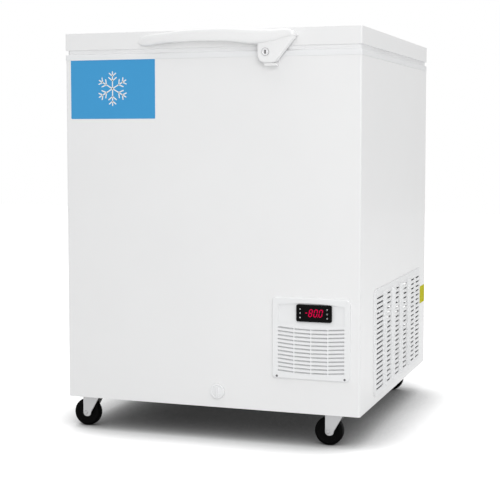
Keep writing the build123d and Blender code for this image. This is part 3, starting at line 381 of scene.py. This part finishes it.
def shell(rings, loop=False):
    """Points and faces of rings (rows, columns, 3): quads between neighbouring rings, and either a
    flat cap on the first and the last ring or, for a loop, quads that join them."""
    rings = np.asarray(rings, float)
    rows, columns = rings.shape[:2]
    row, column = np.meshgrid(np.arange(rows if loop else rows - 1), np.arange(columns), indexing="ij")
    below, beside = (row + 1) % rows, (column + 1) % columns
    start, next_start = row * columns, below * columns
    corners = (start + column, start + beside, next_start + beside, next_start + column)
    faces = np.stack(corners, -1).reshape(-1, 4).tolist()
    if not loop:
        faces.append(list(range(columns))[::-1])
        faces.append(list(range((rows - 1) * columns, rows * columns)))
    return rings.reshape(-1, 3), faces


def build(name, shells, material, body, stands_for=(), sharp=38):
    """One piece from several shells given in millimetres; it rides on a body and stands for nodes."""
    points, faces = [], []
    for shell_points, shell_faces in shells:
        faces += [[corner + len(points) for corner in face] for face in shell_faces]
        points += (shell_points / 1000).tolist()
    mesh = bpy.data.meshes.new(name)
    mesh.from_pydata(points, [], faces)
    work = bmesh.new()
    work.from_mesh(mesh)
    bmesh.ops.remove_doubles(work, verts=work.verts, dist=2e-6)
    bmesh.ops.recalc_face_normals(work, faces=work.faces)
    work.to_mesh(mesh)
    work.free()
    mesh.polygons.foreach_set("use_smooth", np.ones(len(mesh.polygons), bool))
    mesh.set_sharp_from_angle(angle=math.radians(sharp))
    mesh.materials.append(material)
    piece = bpy.data.objects.new(name, mesh)
    scene.collection.objects.link(piece)
    even_normals(piece)
    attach(piece, body)
    if stands_for:
        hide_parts(*stands_for)
    print(name, len(mesh.vertices), "points on", body)


def lows_and_highs(node):
    """The six limits of a node in millimetres: low x, y, z and high x, y, z."""
    low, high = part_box(node)
    return [1000 * v for v in (*low, *high)]


def middle_of(limits):
    """Half way between the low and the high limit on each axis."""
    return [(limits[i] + limits[i + 3]) / 2 for i in range(3)]


print("limits of the cabinet's sheet:", [round(v, 1) for v in lows_and_highs("cabinet_wrap")], "mm")

# %% [markdown]
# ## Outlines and plates
# A sticker, a lock lobe, a castor cheek and a key sign are all plates with an outline of their own.
# Straight runs joined by arcs describe every one of them, and a real plate never ends in a knife
# edge, so the front edge is a quarter round.

# %% Rounded outlines and plates with a soft front edge
def rounded_outline(corners, radii, steps=7):
    """Each corner is cut back by radius / tan(half its angle) on both sides, and an arc about the point
    at radius / sin(half its angle) along the bisector joins the two cuts."""
    corners = np.array(corners, float)
    radii = np.broadcast_to(np.array(radii, float), len(corners))
    before = np.roll(corners, 1, 0) - corners
    after = np.roll(corners, -1, 0) - corners
    before /= np.linalg.norm(before, axis=1)[:, None]
    after /= np.linalg.norm(after, axis=1)[:, None]
    half = np.arccos(np.clip((before * after).sum(1), -1, 1)) / 2
    bisector = (before + after) / np.linalg.norm(before + after, axis=1)[:, None]
    middle = corners + bisector * (radii / np.sin(half))[:, None]
    cut = (radii / np.tan(half))[:, None]
    start = (corners + before * cut - middle)[:, None, :]
    end = (corners + after * cut - middle)[:, None, :]
    turn = (np.pi - 2 * half)[:, None, None]
    t = np.linspace(0, 1, steps)[None, :, None]
    arcs = (np.sin((1 - t) * turn) * start + np.sin(t * turn) * end) / np.sin(turn)
    return (middle[:, None, :] + arcs).reshape(-1, 2)


def rectangle(low_u, high_u, low_v, high_v, radius, steps=7):
    """A rounded rectangle between four limits."""
    corners = [(low_u, low_v), (high_u, low_v), (high_u, high_v), (low_u, high_v)]
    return rounded_outline(corners, radius, steps)


def inset(outline, distance):
    """The outline moved inwards: each point goes by distance times the sum of its two edges' normals,
    divided by 1 + the cosine between them, so that both edges move by the distance."""
    edge = np.roll(outline, -1, 0) - outline
    area = (outline[:, 0] * np.roll(outline[:, 1], -1) - outline[:, 1] * np.roll(outline[:, 0], -1)).sum()
    normal = np.stack([-edge[:, 1], edge[:, 0]], 1) * np.sign(area)
    normal /= np.linalg.norm(normal, axis=1)[:, None]
    earlier = np.roll(normal, 1, 0)
    share = 1 + (normal * earlier).sum(1, keepdims=True)
    return outline + distance * (normal + earlier) / share


def facing_front(outline, depth):
    """Outline in x and z at one y."""
    return np.stack([outline[:, 0], np.full(len(outline), depth), outline[:, 1]], 1)


def facing_side(outline, depth):
    """Outline in y and z at one x."""
    return np.stack([np.full(len(outline), depth), outline[:, 0], outline[:, 1]], 1)


def lying_flat(outline, height):
    """Outline in x and y at one z."""
    return np.column_stack([outline, np.full(len(outline), height)])


def plate(outline, back, front, edge, place, rounds=5):
    """A plate whose front edge is a quarter circle: at angle a the outline is inset by
    edge x (1 - cos a) and lies edge x (1 - sin a) behind the front."""
    way = np.sign(front - back)
    rings = [place(outline, back)]
    for a in np.linspace(0, np.pi / 2, rounds):
        rings.append(place(inset(outline, edge * (1 - math.cos(a))), front - way * edge * (1 - math.sin(a))))
    return shell(np.stack(rings))


def disc(x, z, radius, sides=20):
    """A round outline."""
    a = np.linspace(0, 2 * np.pi, sides, endpoint=False)
    return np.stack([x + radius * np.cos(a), z + radius * np.sin(a)], 1)


def ring_plate(x, z, radius, width, back, front, sides=48):
    """A flat ring: the section, a thin rectangle, is carried round a circle."""
    a = np.linspace(0, 2 * np.pi, sides, endpoint=False)
    section = [(radius, back), (radius, front), (radius - width, front), (radius - width, back)]
    rings = [np.stack([x + r * np.cos(a), np.full(sides, y), z + r * np.sin(a)], 1) for r, y in section]
    return shell(np.stack(rings), loop=True)


print("a 10 mm square with 2 mm corners has", len(rectangle(0, 10, 0, 10, 2)), "points")

# %% [markdown]
# ## Handle
# The handle is one moulding: a bar that bows away from the lid to leave room for the fingers, thin at
# both ends, and a lobe under its right end that carries the lock. Joining boxes would never give the
# bow, so the bar is a row of superellipse sections. Four curves say where each section ends below,
# above, in front and behind.

# %% Handle bar and lock lobe
def curve_through(stations, values, at):
    """Cubic pieces through the stations; the slope at each is a weighted mean of the slopes beside it."""
    x, y = np.array(stations, float), np.array(values, float)
    slope = np.gradient(y, x)
    i = np.clip(np.searchsorted(x, at) - 1, 0, len(x) - 2)
    width = x[i + 1] - x[i]
    t = (at - x[i]) / width
    ends = (1 + 2 * t) * (1 - t) ** 2 * y[i] + t**2 * (3 - 2 * t) * y[i + 1]
    return ends + width * (t * (1 - t) ** 2 * slope[i] + t**2 * (t - 1) * slope[i + 1])


handle = lows_and_highs("lid_handle")
left, right = handle[0], handle[3]
lid_face, top = handle[4], handle[5]
bow = lid_face - handle[1]
ring = lows_and_highs("lock_barrel")
key_x, _, key_z = middle_of(ring)

# Sections stand closer together towards the two ends, where the bar turns fastest.
t = (1 - np.cos(np.linspace(0, np.pi, 97))) / 2
x = left + (right - left) * t

# Above and below, in millimetres under the top of the handle.
above_x = [left, left + 5, left + 18, left + 68, left + 118, 20, 100, 160, right - 8, right - 2, right]
above_drop = [23, 15.5, 10.8, 5.2, 1.9, 0, 1.0, 3.4, 7.0, 11.0, 16.5]
above = top - curve_through(above_x, above_drop, x)
below_x = [left, left + 5, left + 13, left + 64, -11, 60, 126, 159, 175, 188, right - 8, right - 2, right]
below_drop = [24, 30, 32, 28.8, 26.6, 29, 35.5, 31.5, 27.5, 24.0, 21.5, 20.0, 17.5]
below = top - curve_through(below_x, below_drop, x)

# In front, in thirtieths of the bow, and behind, where the fingers go, in millimetres from the lid.
front_x = [left, -140, -100, -50, 30, 100, 150, 190, right - 6, right]
front_share = [5, 13, 20.5, 27, 30, 28.5, 26.5, 24.5, 23, 19]
front = curve_through(front_x, np.array(front_share) * bow / 30, x)
back_x = [left, -122, -104, -78, -52, 56, 82, 106, 122, right]
back = curve_through(back_x, [0, 0, 4, 12.5, 17.3, 17.3, 12.5, 4, 0, 0], x)

# A superellipse: cosine and sine raised to 2 / squareness, with their signs kept.
squareness = 3.4
around = np.linspace(0, 2 * np.pi, 48, endpoint=False)
across_share = np.sign(np.cos(around)) * np.abs(np.cos(around)) ** (2 / squareness)
height_share = np.sign(np.sin(around)) * np.abs(np.sin(around)) ** (2 / squareness)
deep = ((front + back) / 2)[:, None] + ((front - back) / 2)[:, None] * across_share
high = ((above + below) / 2)[:, None] + ((above - below) / 2)[:, None] * height_share
bar = shell(np.stack([np.broadcast_to(x[:, None], deep.shape), lid_face - deep, high], -1))

ring_thick = 1.5
hook_clear = 0.3
lobe_front = ring[1] + ring_thick
lobe_back = lows_and_highs("lock_hook")[1] - hook_clear
lobe_low = handle[2]
lobe_left = key_x - 19.8
lobe_corners = [
    (lobe_left, top - 16), (lobe_left, lobe_low), (key_x + 20, lobe_low),
    (right - 1, top - 20), (right - 9, top - 12), (key_x + 22, top - 12),
]
lobe_outline = rounded_outline(lobe_corners, [6, 18, 13, 7, 6, 5], steps=10)
lobe = plate(lobe_outline, lobe_back, lobe_front, 4.8, facing_front, rounds=8)
build("handle_moulding", [bar, lobe], HANDLE_WHITE, "lid", ["lid_handle"])

# %% [markdown]
# ## Keyhole
# The lock is a chromed ring with a plug that turns in it. At this size the eye finds the lock by its
# black slot and by a thin dark line round the ring, and both are shade. The keyway's shade is painted
# as a dark plate that turns with the plug. The shade round the ring is a painted dark line that stays
# with the lid.

# %% Painted shade in the keyway and round the ring
plug = lows_and_highs("lock_plug")
plug_radius = (plug[3] - plug[0]) / 2
slot_half_wide = 1.5
slot_half_high = plug_radius - 1.0
slot_outline = rectangle(
    key_x - slot_half_wide, key_x + slot_half_wide, key_z - slot_half_high, key_z + slot_half_high, 1.2
)
# The keyway is a dark plate a hair in front of the plug: painted shade where the slot's hollow is.
build("keyway_painted_shade", [plate(slot_outline, plug[1] + 2, plug[1] - 0.08, 0.05, facing_front)], BLACK_KEYS, "lock")
ring_radius = (ring[3] - ring[0]) / 2
line_outside = 0.5
line_width = 0.9
# A thin dark ring where the lock ring meets the lobe: painted shade of the gap between them.
ring_gap_shade = ring_plate(key_x, key_z, ring_radius + line_outside, line_width, ring[1] + 1.4, ring[1] + 0.3)
build("lock_ring_painted_shade", [ring_gap_shade], DARK_SCREW, "lid")
print("lock ring", round(2 * ring_radius, 1), "mm, plug", round(2 * plug_radius, 1), "mm")

# %% [markdown]
# ## Display
# The controller shows its reading in red seven-segment figures that lean a little to the right, as
# such displays do. Each segment is a long hexagon, and a figure is a choice of the seven. The light
# comes from the segments' own emission.

# %% Red figures behind the window
def glowing(name, colour, strength):
    """A matt surface that also gives out light of its own colour."""
    made = finish(name, colour, 0.5, grain=900, depth=0.0, tint=0.1, gloss=0.0)
    shader = next(n for n in made.node_tree.nodes if n.type == "BSDF_PRINCIPLED")
    shader.inputs["Emission Color"].default_value = (*colour, 1)
    shader.inputs["Emission Strength"].default_value = strength
    return made


RED_LIGHT = glowing("red_light", (0.42, 0.001, 0.040), 0.85)
FIGURE_HIGH = 17.5
FIGURE_WIDE = 8.8
FIGURE_STEP = 11.6
STROKE = 2.1
SEGMENT_GAP = 0.35
LEAN = 0.2
FIGURE_LIFT = 0.8  # above the middle of the window
SEGMENTS = {"8": "abcdefg", "0": "abcdef"}


def hexagon(low, high, half):
    """Places along and across the middle line of a segment, which is pointed at both ends."""
    return np.array([
        (low, 0), (low + half, -half), (high - half, -half),
        (high, 0), (high - half, half), (low + half, half),
    ])


def segment(kind, x0, z0):
    """One segment of a figure whose lower left corner is at x0, z0: a hexagon along its middle line,
    pushed to the right by LEAN times the height above z0."""
    half = STROKE / 2
    if kind in "agd":
        middle = z0 + {"a": FIGURE_HIGH - half, "g": FIGURE_HIGH / 2, "d": half}[kind]
        along = hexagon(x0 + half + SEGMENT_GAP, x0 + FIGURE_WIDE - half - SEGMENT_GAP, half)
        points = np.column_stack([along[:, 0], middle + along[:, 1]])
    else:
        middle = x0 + (half if kind in "ef" else FIGURE_WIDE - half)
        low = z0 + (half if kind in "ec" else FIGURE_HIGH / 2) + SEGMENT_GAP
        high = z0 + (FIGURE_HIGH / 2 if kind in "ec" else FIGURE_HIGH - half) - SEGMENT_GAP
        along = hexagon(low, high, half)
        points = np.column_stack([middle - along[:, 1], along[:, 0]])
    points[:, 0] += LEAN * (points[:, 1] - z0)
    return rounded_outline(points, 0.15, steps=3)


window = lows_and_highs("display_window")
display_x, _, window_z = middle_of(window)
display_z = window_z + FIGURE_LIFT
figure_low = display_z - FIGURE_HIGH / 2
starts = [display_x - 13.6 + FIGURE_STEP * place for place in range(3)]
outlines = [segment(kind, x0, figure_low) for x0, figure in zip(starts, "800") for kind in SEGMENTS[figure]]
minus_x = display_x - 19.5
outlines.append(rectangle(minus_x, minus_x + 4.4, display_z - 1, display_z + 1, 0.3, steps=3))
point_x = starts[2] - 1.9
outlines.append(rectangle(point_x, point_x + 1.6, figure_low, figure_low + 1.6, 0.5, steps=4))
figures = [plate(o, window[1] + 0.2, window[1] - 0.12, 0.04, facing_front, rounds=2) for o in outlines]
build("display_figures", figures, RED_LIGHT, "cabinet")

# %% [markdown]
# ## Signs on the keys
# The six keys carry small printed signs that anyone can read: up, down, a square for set, a lamp, a
# ring and a stroke in a ring. Printed paint stands a hair above the key and moves with it.

# %% Key signs
KEY_PRINT = finish("key_print", (0.72, 0.72, 0.72), 0.5, grain=2500, depth=0.0, tint=0.05, gloss=0.2)
SIGN_HALF = 1.7


def key_sign(number):
    """The sign's shells on a key, centred on it: up, down, set, lamp, ring, or stroke in a ring."""
    key = lows_and_highs(f"controller_key_{number}")
    x, _, z = middle_of(key)
    back, front = key[1] + 0.1, key[1] - 0.12
    triangle = np.array([(-SIGN_HALF, -0.75 * SIGN_HALF), (SIGN_HALF, -0.75 * SIGN_HALF), (0, SIGN_HALF)])
    square = 0.8 * SIGN_HALF
    outlines = {
        1: [rounded_outline(triangle + (x, z), 0.15, steps=3)],
        2: [rounded_outline(triangle * (1, -1) + (x, z), 0.15, steps=3)],
        3: [rectangle(x - square, x + square, z - square, z + square, 0.15, steps=3)],
        4: [disc(x, z + 0.4, 1.1), rectangle(x - 0.6, x + 0.6, z - 1.8, z - 1.1, 0.1, steps=3)],
        5: [],
        6: [rectangle(x - 0.3, x + 0.3, z, z + 1.8, 0.15, steps=3)],
    }
    made = [plate(outline, back, front, 0.03, facing_front, rounds=2) for outline in outlines[number]]
    if number in (5, 6):
        made.append(ring_plate(x, z, SIGN_HALF, 0.5, back, front))
    return made


for number in range(1, 7):
    build(f"key_sign_{number}", key_sign(number), KEY_PRINT, f"key_{number}")

# %% [markdown]
# ## Stickers
# A plain blue sticker sits high on the left of the front and a small yellow one low on the right side.
# Both stay free of words: the blue one has a white snowflake for the cold. Vinyl is only a third of a
# millimetre thick, but with that thickness its edge catches the light.

# %% Blue and yellow stickers
BLUE_VINYL = finish("blue_vinyl", (0.052, 0.335, 0.66), 0.42, grain=1500, depth=0.004, tint=0.03, gloss=0.3)
YELLOW_VINYL = finish(
    "yellow_vinyl", (0.66, 0.62, 0.003), 0.5, grain=1500, depth=0.004, tint=0.05, gloss=0.02
)
WHITE_PRINT = finish("white_print", (0.88, 0.88, 0.88), 0.5, grain=1500, depth=0.0, tint=0.02, gloss=0.3)
wrap = lows_and_highs("cabinet_wrap")
sheet_front, sheet_right = wrap[1], wrap[3]
blue_x = (-342.0, -129.0)
blue_z = (733.0, 872.0)
yellow_y = (300.0, 363.0)
yellow_z = (243.0, 289.0)
vinyl = 0.3
ink = 0.08

blue_outline = rectangle(*blue_x, *blue_z, 2)
blue = plate(blue_outline, sheet_front + 0.1, sheet_front - vinyl, 0.1, facing_front, rounds=3)
build("blue_sticker", [blue], BLUE_VINYL, "cabinet")

flake_x, flake_z = sum(blue_x) / 2, sum(blue_z) / 2
arm_length = 40.0
barb_length = 13.0
barb_turn = math.radians(52)
line_wide = 2.6


def stroke_outline(start, end):
    """A straight stroke with rounded ends, as wide as the line."""
    start, end = np.array(start, float), np.array(end, float)
    along = (end - start) / np.linalg.norm(end - start)
    across = np.array([-along[1], along[0]]) * line_wide / 2
    corners = [start - across, end - across, end + across, start + across]
    return rounded_outline(corners, 0.45 * line_wide, steps=4)


strokes = []
for number in range(6):
    a = math.radians(60 * number + 30)
    arm = np.array([math.cos(a), math.sin(a)]) * arm_length
    strokes.append(stroke_outline((flake_x, flake_z), arm + (flake_x, flake_z)))
    for share in (0.45, 0.72):
        root = arm * share + (flake_x, flake_z)
        for turn in (-barb_turn, barb_turn):
            barb = np.array([math.cos(a + turn), math.sin(a + turn)]) * barb_length * (1.25 - 0.5 * share)
            strokes.append(stroke_outline(root, root + barb))
print_front = sheet_front - vinyl - ink
flake = [plate(o, sheet_front - 0.1, print_front, 0.03, facing_front, rounds=2) for o in strokes]
build("snowflake_print", flake, WHITE_PRINT, "cabinet")

yellow_outline = rectangle(*yellow_y, *yellow_z, 1.5)
yellow = plate(yellow_outline, sheet_right - 0.1, sheet_right + vinyl, 0.1, facing_side, rounds=3)
build("yellow_sticker", [yellow], YELLOW_VINYL, "cabinet")

# %% [markdown]
# ## Gasket
# The lid seals on a soft ring with a folded bellows section, which bulges out towards the lid's edge.
# A plain bar would read as part of the frame, so both sides of the section are a wave of two shallow
# folds, carried round a rounded rectangle.

# %% Folded gasket under the lid
def carried_round(profile, limits, radius):
    """A section carried round a rounded rectangle: for each (inward, height) of the section the
    rectangle is inset by inward and lies at height."""
    outline = rectangle(limits[0], limits[3], limits[1], limits[4], radius)
    rings = [lying_flat(inset(outline, inward), height) for inward, height in profile]
    return shell(np.stack(rings), loop=True)


gasket = lows_and_highs("lid_gasket")
low, high = gasket[2], gasket[5]
bulge = 5.5  # beyond the plain ring of the mechanical model
inner_side = 16.0  # in from the edge of that plain ring
fold_deep = 0.5
height = np.linspace(0, 1, 13)
fold = fold_deep * (1 - np.cos(4 * np.pi * height)) / 2
outer = np.column_stack([fold, low + (high - low) * height])
inner = np.column_stack([inner_side + bulge - fold[::-1], (low + (high - low) * height)[::-1]])
outside = [gasket[0] - bulge, gasket[1] - bulge, low, gasket[3] + bulge, gasket[4] + bulge, high]
bellows = carried_round(np.vstack([outer, inner]), outside, 9)
build("gasket_bellows", [bellows], SOFT_VINYL, "lid", ["lid_gasket"])

# %% [markdown]
# ## Panel screws
# Two small dark screws hold the machine panel. Their heads are shallow domes with a cross slot too
# fine to see, so a turned dome is enough.

# %% Two small screw heads
def turned(profile, centre, loop=False, sides=64):
    """A profile of (radius, y) turned about the line through the centre along y."""
    a = np.linspace(0, 2 * np.pi, sides, endpoint=False)
    rings = [
        np.stack([centre[0] + r * np.cos(a), np.full(sides, centre[1] + y), centre[2] + r * np.sin(a)], 1)
        for r, y in profile
    ]
    return shell(np.stack(rings), loop=loop)


screws = lows_and_highs("panel_screws")
screw_front, screw_long = screws[1], screws[4] - screws[1]
head_radius, head_high, neck, shaft_radius = 2.5, 1.2, 1.6, 1.5
a = np.linspace(0, np.pi / 2, 6)
dome = np.column_stack([head_radius * np.cos(a), head_high * (1 - np.sin(a))])
shaft = [(0, screw_long), (shaft_radius, screw_long), (shaft_radius, neck), (head_radius, neck)]
screw_profile = np.vstack([shaft, dome])
screw_points = np.empty(3 * len(nodes["panel_screws"].data.vertices))
nodes["panel_screws"].data.vertices.foreach_get("co", screw_points)
screw_points = 1000 * screw_points.reshape(-1, 3)
is_left = screw_points[:, 0] < screw_points[:, 0].mean()
middles = [(half.min(0) + half.max(0)) / 2 for half in (screw_points[is_left], screw_points[~is_left])]
heads = [turned(screw_profile, (spot[0], screw_front, spot[2]), sides=24) for spot in middles]
build("screw_heads", heads, DARK_SCREW, "cabinet", ["panel_screws"])

# %% [markdown]
# ## Castors
# Each castor is a nylon wheel between two pressed cheeks that lean from the axle up to the swivel
# race. The wheel is a turned profile with a rounded tread and a sunken face, and each cheek is a plate
# with a round tip. The four differ only in place, so one function makes them all.

# %% Wheels and forks
def wheel_profile(radius, half):
    """Half of a wheel's section from the bore to the tread, then the same mirrored: flat hub, sunken
    face, and a tread whose shoulder is a quarter circle."""
    bore, hub, rim, sunk, shoulder_round = 4.1, 11, 24, 3.2, 6
    a = np.linspace(0, np.pi / 2, 8)
    shoulder_radius = radius - shoulder_round + shoulder_round * np.sin(a)
    shoulder = np.column_stack([shoulder_radius, -half + 7 - shoulder_round * np.cos(a)])
    face = np.array([
        (bore, -half), (hub, -half), (hub + 1.2, -half + 0.8),
        (hub + 2, -half + sunk), (rim - 2, -half + sunk), (rim, -half + 1.4),
    ])
    one_side = np.vstack([face, shoulder])
    return np.vstack([one_side, one_side[::-1] * (1, -1)])


def cheek_outline(axle_x, axle_z, tip, crown_left, crown_right, crown_z):
    """From the round tip at the axle up to the crown: the tip is three corners rounded into one arc."""
    corners = [
        (axle_x - tip, axle_z - tip), (axle_x + tip, axle_z - tip), (axle_x + tip + 2, axle_z + 1),
        (crown_right, crown_z), (crown_left, crown_z),
    ]
    return rounded_outline(corners, [tip * 0.98, tip * 0.92, 6, 1, 1], steps=8)


def fork_shells(axle, half, crown_top):
    """Two cheeks with a rivet head each, the flat crown over them, the round race and the axle."""
    axle_x, axle_y, axle_z = axle
    crown_left, crown_right = axle_x - 6.7, axle_x + 37
    inner, outer = half + 1, half + 3.5  # from the wheel's middle to the two faces of a cheek
    tip, rivet_radius, rod_radius, race_radius, trail = 9.2, 4.6, 4, 21, 25
    parts = []
    for way in (-1, 1):
        inner_y, outer_y = axle_y + way * inner, axle_y + way * outer
        cheek = cheek_outline(axle_x + 2.5, axle_z, tip, crown_left, crown_right, crown_top - 1)
        parts.append(plate(cheek, inner_y, outer_y, 1.2, facing_front))
        rivet = disc(axle_x, axle_z, rivet_radius, sides=32)
        parts.append(plate(rivet, outer_y - way * 0.5, outer_y + way * 1.8, 1.7, facing_front, rounds=6))
    crown_half = outer - 0.1
    crown = rectangle(crown_left + 0.5, crown_right - 0.5, axle_y - crown_half, axle_y + crown_half, 2)
    parts.append(shell(np.stack([lying_flat(crown, crown_top - down) for down in (4, 0.6)])))
    race = disc(axle_x + trail, axle_y, race_radius, sides=48)
    levels = [(0.6, crown_top - 4), (0, crown_top - 3.4), (0, crown_top - 0.6), (0.6, crown_top)]
    parts.append(shell(np.stack([lying_flat(inset(race, inward), z) for inward, z in levels])))
    rod = [(0, -inner), (rod_radius, -inner), (rod_radius, inner), (0, inner)]
    parts.append(turned(rod, axle, sides=24))
    return parts


for number in range(1, 5):
    wheel_node, fork_node = f"caster_wheel_{number}", f"caster_fork_{number}"
    limits = lows_and_highs(wheel_node)
    axle = middle_of(limits)
    radius, half = (limits[5] - limits[2]) / 2, (limits[4] - limits[1]) / 2
    wheel = turned(wheel_profile(radius, half), axle, loop=True)
    wheel_body, fork_body = f"wheel_{number}", f"fork_{number}"
    build(f"{wheel_body}_moulding", [wheel], BLACK_NYLON, wheel_body, [wheel_node], sharp=50)
    fork = fork_shells(axle, half, lows_and_highs(fork_node)[5])
    build(f"{fork_body}_pressing", fork, ZINC_PLATE, fork_body, [fork_node])

# %% [markdown]
# ## Drain cap
# The drain ends in a round cap that is pulled out by a rib across its face. The cap is a turned
# profile with a soft shoulder and a shallow ring, and the rib is a plate set on end.

# %% Drain cap
cap = lows_and_highs("drain_plug")
cap_x, _, cap_z = middle_of(cap)
cap_radius = (cap[3] - cap[0]) / 2
cap_back = sheet_front - 0.3
cap_thick, shoulder_round, ring_floor, shank_radius = 5.0, 2.0, -4.2, 5.9
shank_end = cap[4] - cap_back
a = np.linspace(0, np.pi / 2, 6)
rim_radius = cap_radius - shoulder_round + shoulder_round * np.cos(a)
rim = np.column_stack([rim_radius, shoulder_round - cap_thick - shoulder_round * np.sin(a)])
face = [
    (cap_radius - 4, -cap_thick), (cap_radius - 5, ring_floor), (cap_radius - 6.5, ring_floor),
    (cap_radius - 7.5, -cap_thick), (0, -cap_thick - 0.2),
]
shank = [
    (0, shank_end), (shank_radius - 0.9, shank_end), (shank_radius, shank_end - 1.5),
    (shank_radius, 0), (cap_radius, 0),
]
turned_cap = turned(np.vstack([shank, rim, face]), (cap_x, cap_back, cap_z), sides=48)
grip = rectangle(cap_x - 2.4, cap_x + 2.4, cap_z - cap_radius + 5, cap_z + cap_radius - 5, 2.2)
grip_plate = plate(grip, cap_back - 4, cap[1], 1.6, facing_front)
build("drain_cap", [turned_cap, grip_plate], MOULDED_WHITE, "drain_plug", ["drain_plug"])
